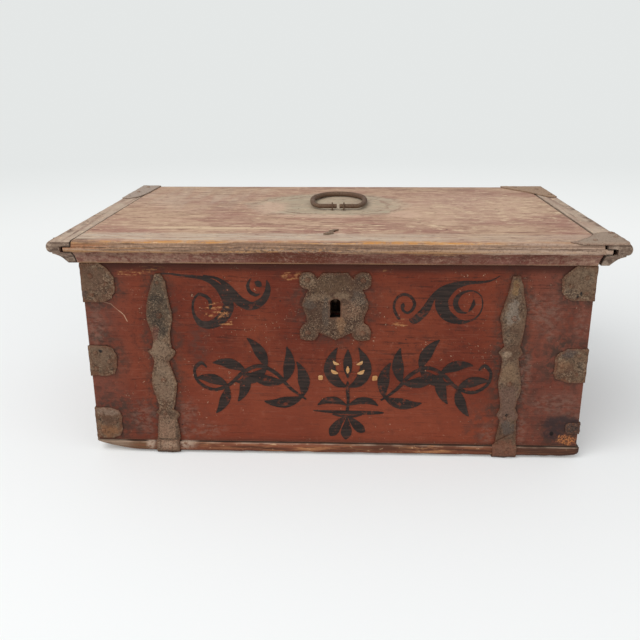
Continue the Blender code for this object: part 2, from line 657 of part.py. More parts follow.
def make_spring(iron):
    # A leaf that falls from the cover's side to the bolt's top edge
    heel = LOCK_RIGHT - LOCK_FLANGE - LOCK_SHEET - SEAT
    heel_z = BOLT_TOP + SEAT + SPRING_RISE
    top, low = [], []
    for step in range(SPRING_STEPS + 1):
        share = step / SPRING_STEPS
        x = heel + (SPRING_TOUCH - heel) * share
        z = heel_z - SPRING_RISE * share * share
        low.append((x, z))
        top.append((x, z + SPRING))
    top[0] = (heel - SPRING, heel_z + SPRING)
    outline = low + top[::-1] + [(heel - SPRING, heel_z + SPRING_HEEL), (heel, heel_z + SPRING_HEEL)]
    mesh_object("lock_spring", prism(outline, Y_AXIS, BOLT_LOW_Y, BOLT_LOW_Y + BOLT), iron)


def make_bolt(iron, pivot):
    low = KEY_Z + BOLT_BAR_FOOT
    riser = HORN_TIP - BOLT_HORN_LENGTH
    horn_top = HORN_LOW + BOLT_HORN
    talon = low + BOLT_TALON_DEPTH
    outline = [(-BOLT_LEFT, low), (-BOLT_TALON / 2, low), (-BOLT_TALON / 2, talon), (BOLT_TALON / 2, talon)]
    outline += [(BOLT_TALON / 2, low), (BOLT_RIGHT, low), (BOLT_RIGHT, BOLT_TOP), (riser, BOLT_TOP)]
    outline += [(riser, HORN_LOW), (HORN_TIP, HORN_LOW), (HORN_TIP, horn_top), (riser - BOLT_RISER, horn_top)]
    outline += [(riser - BOLT_RISER, BOLT_TOP), (-BOLT_LEFT, BOLT_TOP)]
    mesh_object("lock_bolt", prism(outline, Y_AXIS, BOLT_LOW_Y, BOLT_LOW_Y + BOLT), iron, pivot)


# Staples through the lid

def staple_outline(middle_y, middle_z, inner, wire, upward):
    # A loop round a bar, whose legs go through the lid and are clinched on its far face
    outer = inner + wire
    face = LID_LOW - SEAT if upward else LID_TOP + SEAT
    way = 1 if upward else -1
    arch = [pi * step / ARCH_STEPS for step in range(ARCH_STEPS + 1)]
    points = [(outer + CLINCH_LENGTH, face - way * CLINCH), (outer + CLINCH_LENGTH, face), (outer, face)]
    points += [(outer * cos(turn), middle_z + way * outer * sin(turn)) for turn in arch]
    points += [(-outer, face), (-outer - CLINCH_LENGTH, face), (-outer - CLINCH_LENGTH, face - way * CLINCH)]
    points += [(-inner, face - way * CLINCH)]
    points += [(inner * cos(turn), middle_z + way * inner * sin(turn)) for turn in reversed(arch)]
    points += [(inner, face - way * CLINCH)]
    return [(middle_y + y, z) for y, z in points]


def add_leg_holes(holes, middle_x, middle_y, inner, wire, width):
    half = width / 2 + SEAT
    for way in (-1, 1):
        near, far = sorted((middle_y + way * (inner - SEAT), middle_y + way * (inner + wire + SEAT)))
        add_box(holes, (middle_x - half, near, LID_LOW - PAST), (middle_x + half, far, LID_TOP + PAST))


def make_staples(board, iron, pivot):
    holes = bmesh.new()
    inner = BAIL_ROD + RUN
    for name, side in SIDES.items():
        x = side * STAPLE_SPREAD
        outline = staple_outline(BAIL_PLACE, BAIL_Z, inner, STAPLE_WIRE, True)
        shape = prism(outline, X_AXIS, x - STAPLE_WIDTH / 2, x + STAPLE_WIDTH / 2)
        mesh_object(name + "_handle_staple", shape, iron, pivot)
        add_leg_holes(holes, x, BAIL_PLACE, inner, STAPLE_WIRE, STAPLE_WIDTH)
    outline = staple_outline(BOLT_MIDDLE_Y, CATCH_Z, CATCH_ARCH, CATCH_WIRE, False)
    near, far = -CATCH_OFFSET - CATCH_WIDTH / 2, -CATCH_OFFSET + CATCH_WIDTH / 2
    shape = prism(outline, X_AXIS, near, far)
    for vert in shape.verts:
        off = vert.co.y - BOLT_MIDDLE_Y
        past = abs(off) - CATCH_ARCH - CATCH_WIRE
        if past > SEAT:
            vert.co.x += copysign(past * CATCH_SLANT, off)
    mesh_object("lock_catch", shape, iron, pivot)
    add_leg_holes(holes, -CATCH_OFFSET, BOLT_MIDDLE_Y, CATCH_ARCH, CATCH_WIRE, CATCH_WIDTH)
    boolean(board, make_cutter("staple_holes", holes))


def make_bail(iron, pivot):
    # Half of the bail's middle line, from its end beside the gap to the middle of the grip
    half = BAIL_WIDTH / 2 - BAIL_GRIP
    waist = BAIL_REACH / 2
    line = [(BAIL_GAP, 0.0)]
    for step in range(BAIL_STEPS + 1):
        turn = pi / 2 * step / BAIL_STEPS
        line.append((BAIL_STRAIGHT + (half - BAIL_STRAIGHT) * sin(turn), waist * (1 - cos(turn))))
    for step in range(1, BAIL_STEPS + 1):
        turn = pi / 2 * step / BAIL_STEPS
        line.append((half * cos(turn), waist + (BAIL_REACH - waist) * sin(turn)))
    line += [(-x, reach) for x, reach in line[-2::-1]]
    curve = bpy.data.curves.new("bail_handle", 'CURVE')
    curve.dimensions = '3D'
    curve.bevel_depth = BAIL_ROD
    curve.bevel_resolution = 2
    curve.use_fill_caps = True
    spline = curve.splines.new('POLY')
    spline.points.add(len(line) - 1)
    for point, (x, reach) in zip(spline.points, line):
        point.co = (x, BAIL_PLACE + reach * cos(BAIL_TILT), BAIL_Z - reach * sin(BAIL_TILT), 1)
        point.radius = 1 + (BAIL_GRIP / BAIL_ROD - 1) * min(reach / waist, 1)
    spline.use_smooth = True
    place(bpy.data.objects.new("bail_handle", curve), iron, pivot)


# Lid plates

def plate_span(side, reach):
    return sorted((side * (LID_HALF - reach), side * (LID_HALF - PLATE_MARGIN)))


def top_row(end, side, inset, reach):
    # One row of a lid plate on the lid's top
    y = (LID_BACK if end > 0 else LID_FRONT) - end * inset
    return (Vector((0, y, LID_TOP + SEAT)), Z_AXIS, *plate_span(side, reach))


def plate_lip(end, side, reach):
    # The rows of a lid plate that is folded down over the lid's front nose or back edge
    if end > 0:
        back = LID_BACK + SEAT
        return [(Vector((0, back, LID_TOP - PLATE_LIP)), Y_AXIS, *plate_span(side, reach)),
                (Vector((0, back, LID_TOP + SEAT)), Y_AXIS + Z_AXIS, *plate_span(side, reach))]
    rows = []
    for step in range(FRONT_LIP_STEPS, -1, -1):
        turn = pi * step / NOSE_STEPS
        outward = Vector((0, -sin(turn), cos(turn)))
        middle = Vector((0, LID_FRONT + NOSE_REACH, LID_TOP - NOSE_HEIGHT / 2))
        nose = Vector((0, -NOSE_REACH * sin(turn), NOSE_HEIGHT / 2 * cos(turn)))
        span = plate_span(side, reach - FRONT_LIP_TAPER * step)
        rows.append((middle + nose + outward * SEAT, outward, *span))
    return rows


def make_lid_plates(battens, iron, pivot):
    kinds = [("front", "right", FRONT_PLATE)]
    kinds += [("back", "right", BACK_RIGHT_PLATE), ("back", "left", BACK_LEFT_PLATE)]
    for end_name, side_name, rows in kinds:
        end, side = ENDS[end_name], SIDES[side_name]
        name = end_name + "_" + side_name
        stations = plate_lip(end, side, rows[0][1])
        stations += [top_row(end, side, inset, reach) for inset, reach in rows[1:]]
        shape = bmesh.new()
        add_ribbon(shape, stations, X_AXIS, PLATE)
        plate = mesh_object(name + "_lid_plate", shape, iron, pivot)
        edge = (LID_BACK if end > 0 else LID_FRONT) - end * rows[-2][0]
        seat = Vector((side * (LID_HALF - PLATE_NAIL_MARGIN), edge, LID_TOP + SEAT + PLATE))
        depth = PLATE + SEAT + TACK_BITE
        make_nail(name + "_plate_nail", seat, Z_AXIS, depth, iron, [plate, battens[side_name]], pivot)


# Hinges

def leaf_rows(length):
    # Distance from the pin along a leaf, and half its width there
    start = KNUCKLE + RUN
    rows = [(start, HINGE_HALF), (LEAF_ROOT, HINGE_HALF)]
    rows += [(LEAF_ROOT + share * (length - LEAF_ROOT), width * HINGE_HALF) for share, width in LEAF_OUTLINE]
    return rows


def knuckle_spans(wall_leaf):
    middle = HINGE_HALF / 3
    if wall_leaf:
        return [(-HINGE_HALF, -middle - RUN / 2), (middle + RUN / 2, HINGE_HALF)]
    return [(-middle + RUN / 2, middle - RUN / 2)]


def make_leaf(name, x, wall_leaf, iron, pivot):
    axis = Vector((x, HINGE_Y, HINGE_Z))
    outward = Y_AXIS if wall_leaf else -Z_AXIS
    along = -Z_AXIS if wall_leaf else -Y_AXIS
    plane = axis - outward * KNUCKLE
    stations = []
    for reach, half in leaf_rows(WALL_LEAF if wall_leaf else LID_LEAF):
        stations.append((plane + along * reach, outward, -half, half))
    shape = bmesh.new()
    add_ribbon(shape, stations, X_AXIS, HINGE)
    leaf = mesh_object(name, shape, iron, pivot)
    knuckles = bmesh.new()
    tabs = bmesh.new()
    for low, high in knuckle_spans(wall_leaf):
        add_turned(knuckles, axis, X_AXIS, ((low, KNUCKLE), (high, KNUCKLE)), ROUND_SIDES)
        rows = [(plane + along * reach, outward, low, high) for reach in (LEAF_ROOT / 2, 0.0)]
        add_ribbon(tabs, rows, X_AXIS, HINGE)
    boolean(leaf, make_cutter(name + "_tabs", tabs), 'UNION')
    boolean(leaf, make_cutter(name + "_knuckles", knuckles), 'UNION')
    bore = bmesh.new()
    span = HINGE_HALF + PAST
    add_turned(bore, axis, X_AXIS, ((-span, HINGE_PIN + RUN), (span, HINGE_PIN + RUN)), ROUND_SIDES)
    boolean(leaf, make_cutter(name + "_bore", bore))
    return leaf


def make_hinge_pin(name, x, iron):
    end = HINGE_HALF + SEAT
    head = end + HINGE_PIN_HEAD_HEIGHT
    steps = [(-head, HINGE_PIN_HEAD), (-end, HINGE_PIN_HEAD), (-end, HINGE_PIN)]
    steps += [(-reach, radius) for reach, radius in reversed(steps)]
    shape = bmesh.new()
    add_turned(shape, Vector((x, HINGE_Y, HINGE_Z)), X_AXIS, steps, ROUND_SIDES)
    mesh_object(name, shape, iron, smooth=True)


def make_hinges(back_board, lid_board, iron, pivot):
    notches = bmesh.new()
    for name, side in SIDES.items():
        x = side * STRAP_X
        wall_leaf = make_leaf(name + "_wall_hinge", x, True, iron, None)
        lid_leaf = make_leaf(name + "_lid_hinge", x, False, iron, pivot)
        make_hinge_pin(name + "_hinge_pin", x, iron)
        half = HINGE_HALF + NOTCH_EASE
        add_box(notches, (x - half, CASE_BACK - WALL - PAST, LID_LOW - SEAT - HINGE - NOTCH_EASE),
                (x + half, CASE_BACK + PAST, RIM + PAST))
        depth = HINGE + SEAT + NAIL_BITE
        reach = LEAF_ROOT + LEAF_NAIL * (WALL_LEAF - LEAF_ROOT)
        seat = Vector((x, CASE_BACK + SEAT + HINGE, HINGE_Z - reach))
        make_nail(name + "_wall_hinge_nail", seat, Y_AXIS, depth, iron, [back_board, wall_leaf])
        reach = LEAF_ROOT + LEAF_NAIL * (LID_LEAF - LEAF_ROOT)
        seat = Vector((x, HINGE_Y - reach, LID_LOW - SEAT - HINGE))
        make_nail(name + "_lid_hinge_nail", seat, -Z_AXIS, depth, iron, [lid_board, lid_leaf], pivot)
    boolean(back_board, make_cutter("hinge_notches", notches))


def main():
    clear_scene()
    red_paint = make_material("red_paint", (0.178, 0.046, 0.026), 0.7, 0.0)
    lid_paint = make_material("worn_lid_paint", (0.454, 0.303, 0.227), 0.75, 0.0)
    bare_wood = make_material("bare_wood", (0.40, 0.28, 0.17), 0.8, 0.0)
    iron = make_material("old_iron", (0.12, 0.085, 0.06), 0.65, 0.6)

    lid_pivot = make_pivot("lid_pivot", (0.0, HINGE_Y, HINGE_Z))
    handle_pivot = make_pivot("handle_pivot", (0.0, BAIL_PLACE, BAIL_Z), lid_pivot)
    bolt_pivot = make_pivot("bolt_pivot", (0.0, BOLT_MIDDLE_Y, KEY_Z))

    walls = make_walls(red_paint)
    make_bottom(red_paint)
    make_straps(walls["front"], iron)
    make_corner_irons(iron)
    make_escutcheon(walls["front"], iron)
    make_lock_body(iron)
    make_bolt(iron, bolt_pivot)

    lid_board = make_lid_board(lid_paint, lid_pivot)
    battens = make_battens(lid_paint, lid_pivot)
    make_batten_pegs(lid_board, battens, bare_wood, lid_pivot)
    make_staples(lid_board, iron, lid_pivot)
    make_bail(iron, handle_pivot)
    make_lid_plates(battens, iron, lid_pivot)
    make_hinges(walls["back"], lid_board, iron, lid_pivot)


main()
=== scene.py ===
import bpy
import bmesh
import json
import math
import random
from mathutils import Matrix, Vector, noise

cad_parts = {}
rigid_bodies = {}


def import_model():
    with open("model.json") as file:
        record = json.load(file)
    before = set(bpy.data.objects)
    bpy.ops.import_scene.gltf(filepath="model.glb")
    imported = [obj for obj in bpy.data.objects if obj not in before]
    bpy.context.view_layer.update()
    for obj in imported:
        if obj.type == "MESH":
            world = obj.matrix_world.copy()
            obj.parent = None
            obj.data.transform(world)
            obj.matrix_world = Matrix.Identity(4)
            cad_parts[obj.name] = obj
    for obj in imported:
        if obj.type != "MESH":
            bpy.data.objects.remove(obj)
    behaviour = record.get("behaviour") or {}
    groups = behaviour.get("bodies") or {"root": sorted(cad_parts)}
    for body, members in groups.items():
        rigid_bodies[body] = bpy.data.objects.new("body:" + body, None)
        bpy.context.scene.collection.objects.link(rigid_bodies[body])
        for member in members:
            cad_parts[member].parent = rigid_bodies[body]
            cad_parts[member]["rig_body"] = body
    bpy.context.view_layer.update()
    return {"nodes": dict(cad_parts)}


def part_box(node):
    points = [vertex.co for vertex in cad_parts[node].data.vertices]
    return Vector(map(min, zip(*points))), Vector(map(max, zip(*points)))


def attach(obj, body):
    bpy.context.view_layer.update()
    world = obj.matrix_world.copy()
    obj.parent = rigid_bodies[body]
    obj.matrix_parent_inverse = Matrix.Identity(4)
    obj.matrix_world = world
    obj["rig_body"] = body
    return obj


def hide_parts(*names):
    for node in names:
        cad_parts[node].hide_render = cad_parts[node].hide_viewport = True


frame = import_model()
nodes = frame["nodes"]

# faces of the casket that the pieces below are laid on, in metres
faces = {
    "front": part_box("front_board")[0].y,
    "lidTop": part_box("lid_board")[1].z,
    "lidLow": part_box("lid_board")[0].z,
    "wallLow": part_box("front_board")[0].z,
    "rim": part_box("front_board")[1].z,
}


# laying shader nodes

bench = {"tree": None, "material": None}  # the node tree and the material being made


def link(value, socket):  # a wire from a socket, or else a fixed value
    if isinstance(value, bpy.types.NodeSocket):
        bench["tree"].links.new(value, socket)
    else:
        socket.default_value = value


def put(kind, sockets=None, **settings):
    made = bench["tree"].nodes.new("ShaderNode" + kind)
    for name, value in settings.items():
        setattr(made, name, value)
    for key, value in (sockets or {}).items():
        link(value, made.inputs[key])
    return made


def calc(operation, first, second=0.0):
    return put("Math", {0: first, 1: second}, operation=operation).outputs[0]


def fold(operation, values):
    total = values[0]
    for value in values[1:]:
        total = calc(operation, total, value)
    return total


def times(*values):  # product of several masks
    return fold("MULTIPLY", values)


def most(*values):  # highest of several masks
    return fold("MAXIMUM", values)


def add(first, second):
    return calc("ADD", first, second)


def less(first, second):
    return calc("SUBTRACT", first, second)


def absolute(value):
    return calc("ABSOLUTE", value)


def colourOf(value):
    if isinstance(value, bpy.types.NodeSocket):
        return value
    return (*value, 1.0)


def blend(factor, under, over):
    sockets = {0: factor, 6: colourOf(under), 7: colourOf(over)}
    return put("Mix", sockets, data_type="RGBA").outputs[2]


def coat(palette, colour, *layers):  # colours or their names in the palette, each laid where its mask is
    colour = palette[colour] if isinstance(colour, str) else colour
    for mask, over in layers:
        colour = blend(mask, colour, palette[over] if isinstance(over, str) else over)
    return colour


def fade(value, low, high, start=0.0, end=1.0):
    sockets = {0: value, 1: low, 2: high, 3: start, 4: end}
    return put("MapRange", sockets, interpolation_type="SMOOTHSTEP").outputs[0]


def between(value, low, high, soft):  # 1 inside a range, 0 outside
    return times(fade(value, low - soft, low + soft), fade(value, high + soft, high - soft))


def cloud(place, scale, detail=4.0, rough=0.55):
    sockets = {"Vector": place, "Scale": scale, "Detail": detail, "Roughness": rough}
    return put("TexNoise", sockets).outputs[0]


def streaks(place, by, detail=4.0, rough=0.55):  # a cloud drawn out by other amounts along x, y and z
    return cloud(stretch(place, by), 1.0, detail, rough)


def vector(operation, first, second):
    return put("VectorMath", {0: first, 1: second}, operation=operation).outputs


def stretch(place, by):
    return vector("MULTIPLY", place, by)[0]


def shift(place, by):
    return vector("ADD", place, by)[0]


def reachOf(place):
    return put("VectorMath", {0: place}, operation="LENGTH").outputs["Value"]


def split(place):
    return put("SeparateXYZ", {0: place}).outputs


def newGroup(name, takes, *gives):  # takes hold a first value or None, gives are masks or the Color
    bench["tree"] = tree = bpy.data.node_groups.new(name, "ShaderNodeTree")
    for label, value in takes.items():
        kind = "NodeSocketFloat" if isinstance(value, float) else "NodeSocketVector"
        socket = tree.interface.new_socket(label, in_out="INPUT", socket_type=kind)
        if value is not None:
            socket.default_value = value
    for label in gives:
        kind = "NodeSocketColor" if label == "Color" else "NodeSocketFloat"
        tree.interface.new_socket(label, in_out="OUTPUT", socket_type=kind)
    return tree.nodes.new("NodeGroupInput").outputs, tree.nodes.new("NodeGroupOutput").inputs


def give(out, **values):
    for label, value in values.items():
        link(value, out[label])
    return bench["tree"]


def use(group, **sockets):
    return put("Group", sockets, node_tree=group).outputs


# shared effects

def makeGrainGroup():  # long streaks and thin cracks that run with the board
    takes = {"Vector": None, "Stretch": (5, 170, 170), "Wave": 0.004}
    given, out = newGroup("board grain", takes, "Bands", "Lines", "Cracks")
    sway = put("TexNoise", {"Vector": given["Vector"], "Scale": 11.0, "Detail": 2.0}).outputs[1]
    sway = vector("SUBTRACT", sway, (0.5, 0.5, 0.5))[0]
    sway = put("VectorMath", {0: sway, "Scale": given["Wave"]}, operation="SCALE").outputs[0]
    long = stretch(shift(given["Vector"], sway), given["Stretch"])
    thin = cloud(shift(long, (1.7, 4.3, 2.9)), 3.0, 3.0, 0.6)
    return give(out, Bands=cloud(long, 1.0), Lines=cloud(long, 4.1, 3.0, 0.6), Cracks=fade(thin, 0.60, 0.67))


def makePatchGroup():  # ragged patches: flaked paint, dust, dirt
    given, out = newGroup("ragged patches", {"Vector": None, "Scale": 40.0, "Level": 0.6, "Soft": 0.04}, "Mask")
    level = cloud(given["Vector"], given["Scale"], 6.0, 0.62)
    low, high = less(given["Level"], given["Soft"]), add(given["Level"], given["Soft"])
    return give(out, Mask=fade(level, low, high))


def makeSpotGroup():  # one oval mark at a place; the rag value breaks its edge
    takes = {"Vector": None, "Centre": None, "Radii": (0.01, 0.01, 0.01), "Rag": 0.0, "Soft": 0.2}
    given, out = newGroup("oval mark", takes, "Mask", "Reach")
    off = vector("SUBTRACT", given["Vector"], given["Centre"])[0]
    reach = add(reachOf(vector("DIVIDE", off, given["Radii"])[0]), given["Rag"])
    return give(out, Mask=fade(reach, add(1.0, given["Soft"]), less(1.0, given["Soft"])), Reach=reach)


def makePeckGroup():  # small dark pecks and old nail holes
    given, out = newGroup("pecks", {"Vector": None, "Scale": 24.0, "Size": 0.04, "Share": 0.5}, "Mask")
    cell = put("TexVoronoi", {"Vector": given["Vector"], "Scale": given["Scale"]}).outputs
    kept = calc("LESS_THAN", put("SeparateColor", {0: cell["Color"]}).outputs[0], given["Share"])
    ring = fade(cell["Distance"], given["Size"], times(given["Size"], 0.55))
    return give(out, Mask=times(ring, kept))


def makeEdgeGroup():  # a mask along sharp edges, for wear on the wood and painted shade on the irons
    given, out = newGroup("edge wear and shade", {"Radius": 0.0015}, "Mask")
    rounded = put("Bevel", {"Radius": given["Radius"]}, samples=4).outputs[0]
    flat = put("NewGeometry").outputs["Normal"]
    return give(out, Mask=fade(vector("DOT_PRODUCT", rounded, flat)["Value"], 0.995, 0.86))


grainGroup = makeGrainGroup()
patchGroup = makePatchGroup()
spotGroup = makeSpotGroup()
peckGroup = makePeckGroup()
edgeGroup = makeEdgeGroup()
grainX, grainY, grainZ = (8, 170, 170), (170, 8, 170), (170, 170, 8)


def grainOf(place, along, wave=0.004):
    return use(grainGroup, Vector=place, Stretch=along, Wave=wave)


def patches(place, scale, level, soft=0.04):
    return use(patchGroup, Vector=place, Scale=scale, Level=level, Soft=soft)["Mask"]


def pecked(place, scale, size, share):
    return use(peckGroup, Vector=place, Scale=scale, Size=size, Share=share)["Mask"]


def edges(radius):
    return use(edgeGroup, Radius=radius)["Mask"]


def ragged(place, scale, amount):  # uneven value, round nought, for the edges of marks
    return times(less(cloud(place, scale, 5.0, 0.65), 0.5), amount)


def spot(place, centre, radii, rag=0.0, soft=0.2):
    return use(spotGroup, Vector=place, Centre=centre, Radii=radii, Rag=rag, Soft=soft)


def lidSpot(place, centre, radii, rag, soft):  # on the lid's top: centre and half sizes in x and y
    return spot(place, (*centre, faces["lidTop"]), (*radii, 0.05), rag, soft)


def frontSpots(place, marks, rag=0.0, soft=0.2):  # on the front: marks as x, z and half sizes in millimetres
    found = []
    for cx, cz, rx, rz in marks:
        centre, radii = (cx / 1000, faces["front"], cz / 1000), (rx / 1000, 0.03, rz / 1000)
        found.append(spot(place, centre, radii, rag, soft)["Mask"])
    return most(*found)


redPaint = {
    "deep": (0.128, 0.0235, 0.0112),
    "bright": (0.174, 0.0365, 0.0165),
    "streak": (0.055, 0.018, 0.012),
    "faded": (0.265, 0.105, 0.066),
    "dull": (0.160, 0.054, 0.036),
    "chip": (0.470, 0.310, 0.200),
}


def makeRedGroup():  # old brick-red paint, thin enough for the grain to show
    takes = {"Vector": None, "Stretch": (5, 170, 170), "Dull": 0.0}
    given, out = newGroup("red paint", takes, "Color", "Roughness", "Height")
    place = given["Vector"]
    grain = grainOf(place, given["Stretch"])
    mottle = cloud(place, 95.0, 6.0, 0.7)
    speck = cloud(shift(place, (2.3, 0.9, 1.7)), 430.0, 3.0, 0.6)
    chips = times(patches(place, 330.0, 0.67, 0.03), fade(cloud(place, 22.0, 3.0), 0.40, 0.60))
    colour = coat(
        redPaint, "deep", (fade(cloud(place, 15.0), 0.38, 0.62), "bright"),
        (times(given["Dull"], fade(cloud(place, 30.0, 6.0, 0.65), 0.20, 0.55)), "dull"),
        (fade(mottle, 0.50, 0.70, 0.0, 0.55), "streak"),
        (fade(mottle, 0.44, 0.28, 0.0, 0.35), "faded"),
        (fade(grain["Bands"], 0.50, 0.74, 0.0, 0.25), "streak"),
        (times(grain["Cracks"], fade(mottle, 0.38, 0.56, 0.1, 0.75)), "streak"),
        (fade(grain["Lines"], 0.42, 0.22, 0.0, 0.45), "faded"),
        (fade(speck, 0.60, 0.70, 0.0, 0.5), "streak"),
        (times(chips, 0.8), "chip"))
    height = add(times(grain["Lines"], 0.6), times(speck, 0.3))
    height = less(height, times(most(chips, grain["Cracks"]), 0.5))
    return give(out, Color=colour, Roughness=fade(grain["Lines"], 0.2, 0.8, 0.55, 0.8), Height=height)


oldIron = {
    "olive": (0.076, 0.044, 0.025),
    "tan": (0.148, 0.086, 0.050),
    "grey": (0.100, 0.071, 0.048),
    "dark": (0.027, 0.017, 0.011),
    "pale": (0.380, 0.270, 0.170),
    "rust": (0.150, 0.056, 0.027),
    "crumb": (0.280, 0.188, 0.118),
    "pit": (0.013, 0.009, 0.007),
}


def makeIronGroup():  # wrought iron, smooth brown in places and gritty in others
    takes = {"Vector": None, "Pale": 0.6, "Rust": 0.3, "Pits": 0.6}
    given, out = newGroup("old iron", takes, "Color", "Roughness", "Height", "Grit")
    place = given["Vector"]
    broad = cloud(place, 62.0)
    other = cloud(shift(place, (1.9, 0.6, 2.2)), 74.0)
    lumps = cloud(place, 260.0, 5.0, 0.65)
    grit = cloud(shift(place, (3.1, 1.7, 0.4)), 520.0, 4.0, 0.70)
    gritty = fade(other, 0.38, 0.60, 0.15, 1.0)
    colour = coat(
        oldIron, "olive", (fade(broad, 0.40, 0.62), "tan"),
        (fade(other, 0.52, 0.66, 0.0, 0.7), "grey"),
        (times(fade(broad, 0.56, 0.38), given["Rust"]), "rust"),
        (fade(lumps, 0.50, 0.34, 0.0, 0.75), "dark"),
        (times(fade(grit, 0.53, 0.61), given["Pale"], gritty), "pale"),
        (times(fade(grit, 0.46, 0.39), given["Pits"], gritty), "pit"))
    height = add(times(lumps, 0.7), times(grit, gritty, 0.4))
    return give(out, Color=colour, Roughness=fade(lumps, 0.3, 0.7, 0.85, 0.62), Height=height, Grit=grit)


redGroup = makeRedGroup()
ironGroup = makeIronGroup()

frontMarks = {  # centre x, z and half sizes x, z in millimetres
    "ochre": [(-203, 199, 15, 3.2), (-184, 204, 16, 2.2), (-120, 160, 12, 8), (-44, 197, 12, 4.0),
              (53, 202, 7, 2.2), (-110, 146, 7, 4), (66, 148, 8, 4)],
    # painted shade and dirt round the irons, where they meet the board
    "ironShadeAndDirt": [(-178, 112, 19, 102), (178, 112, 19, 102), (-240, 186, 25, 24), (-239, 112, 23, 24),
             (-236, 36, 27, 26), (242, 190, 26, 25), (237, 108, 29, 26), (240, 30, 24, 18), (1, 166, 42, 38)],
    "dirt": [(-178, 30, 40, 30), (-236, 58, 22, 28), (226, 45, 36, 38), (196, 80, 15, 60), (222, 150, 28, 40),
             (150, 36, 16, 24), (-205, 57, 12, 6), (-228, 59, 6, 9), (-239, 150, 16, 22), (-139, 130, 10, 26)],
    "dust": [(-204, 40, 13, 15), (-155, 47, 9, 13), (-198, 33, 4, 20), (-159, 27, 4, 15), (193, 92, 7, 28),
             (246, 46, 11, 6), (228, 62, 24, 12), (246, 150, 7, 16), (215, 137, 4, 7), (208, 160, 18, 20),
             (-245, 142, 9, 20), (-140, 26, 22, 9), (195, 30, 5, 20), (160, 26, 7, 10)],
    "fresh": [(-70, 45, 110, 45), (80, 40, 90, 34)],
    "dark": [(238, 38, 22, 8.5), (228, 27, 10, 7)],
    "raw": [(244, 20, 9.0, 5.6)],
    "hole": [(227, 27.3, 2.0, 2.4)],
}


def makeFrontGroup():  # where the front has been rubbed, stained and flaked, with painted shade and dirt round the irons
    given, out = newGroup("front marks", {"Vector": None}, "Halo", "Dirt", "Dust", "Ochre", "Pecks", "Ends")
    place = given["Vector"]
    x, _, z = split(place)
    broken = cloud(place, 150.0, 6.0, 0.68)
    wide, fine = ragged(place, 45.0, 1.3), ragged(place, 140.0, 1.8)
    ironShadeAndDirt, dirt, dust = (
        frontSpots(place, frontMarks[key], wide, soft) for key, soft in (("ironShadeAndDirt", 0.34), ("dirt", 0.5), ("dust", 0.55)))
    lower = fade(z, faces["wallLow"] + 0.006, faces["wallLow"], 0.0, 0.75)
    streaky = fade(streaks(place, (60, 1, 420), 4.0, 0.6), 0.47, 0.56)
    return give(
        out,
        Halo=times(ironShadeAndDirt, fade(broken, 0.40, 0.58, 0.25, 1.0)),
        Dirt=most(times(dirt, fade(broken, 0.38, 0.60)), lower),
        Dust=times(dust, fade(streaks(place, (150, 1, 270), 6.0, 0.72), 0.42, 0.60)),
        Ochre=times(frontSpots(place, frontMarks["ochre"], fine), streaky, patches(place, 330.0, 0.47, 0.05)),
        Pecks=pecked(stretch(place, (1, 0, 1)), 30.0, 0.045, 0.5),
        Ends=most(fade(x, 0.150, 0.235), fade(x, -0.190, -0.262)))


lidJoint = {"at": 0.2563, "tongue": 0.008, "top": 0.2285, "low": 0.2229, "half": 0.0008, "soft": 0.0004}


def makeJointGroup():  # dirt in the tongued joints between the lid board and its battens
    given, out = newGroup("lid joint dirt", {"Vector": None}, "Mask")
    place = given["Vector"]
    x, y, z = split(place)
    half, soft = lidJoint["half"], lidJoint["soft"]
    across = less(add(absolute(x), ragged(place, 70.0, 0.004)), lidJoint["at"])
    front = fade(y, -0.156, -0.162)
    inTongue = times(between(z, lidJoint["low"], lidJoint["top"], 0.0002), front)
    shoulder = times(between(across, -half, half, soft), less(1.0, inTongue), fade(y, -0.155, -0.165, 0.55, 1.0))
    tip = times(between(across, lidJoint["tongue"] - half, lidJoint["tongue"] + half, soft), inTongue)
    sides = most(*(between(z, lidJoint[key] - half, lidJoint[key] + half, soft) for key in ("top", "low")))
    sides = times(sides, front, between(across, 0.0, lidJoint["tongue"], soft))
    return give(out, Mask=most(shoulder, tip, sides))


frontGroup = makeFrontGroup()
jointGroup = makeJointGroup()


def jointDirt(place):
    return use(jointGroup, Vector=place)["Mask"]


print("shared effects:", len(bpy.data.node_groups))


# materials

def shaderInputs():
    return bench["tree"].nodes["Principled BSDF"].inputs


def newMaterial(name, specular=0.15):
    bench["material"] = material = bpy.data.materials.new(name)
    material.use_nodes = True
    bench["tree"] = material.node_tree
    link(specular, shaderInputs()["Specular IOR Level"])
    given = put("TexCoord").outputs
    return given["Object"], given["Normal"]


def finishMaterial(colour, roughness, height=None, depth=0.0006):
    inputs = shaderInputs()
    link(colour, inputs["Base Color"])
    link(roughness, inputs["Roughness"])
    if height is not None:
        link(put("Bump", {"Height": height, "Strength": 0.7, "Distance": depth}).outputs[0], inputs["Normal"])
    return bench["material"]


bareWood = {
    "pale": (0.360, 0.235, 0.130),
    "dark": (0.190, 0.115, 0.062),
    "grey": (0.300, 0.235, 0.170),
    "stain": (0.110, 0.070, 0.045),
}


def bareColour(place, along):  # unpainted wood, darkened with age, and its fine lines
    grain = grainOf(place, along, 0.006)
    colour = coat(
        bareWood, "pale", (fade(grain["Bands"], 0.32, 0.70, 0.1, 0.75), "dark"),
        (fade(grain["Lines"], 0.52, 0.74, 0.0, 0.45), "dark"),
        (fade(cloud(place, 13.0, 6.0, 0.6), 0.40, 0.72, 0.15, 0.75), "grey"),
        (times(pecked(place, 21.0, 0.06, 0.3), 0.6), "dark"))
    return colour, grain["Lines"]


def makeInsideWood(name, along):
    place, _ = newMaterial(name)
    colour, lines = bareColour(place, along)
    colour = coat(bareWood, colour, (times(patches(place, 14.0, 0.56, 0.10), 0.5), "stain"))
    return finishMaterial(colour, 0.8, lines, 0.0005)


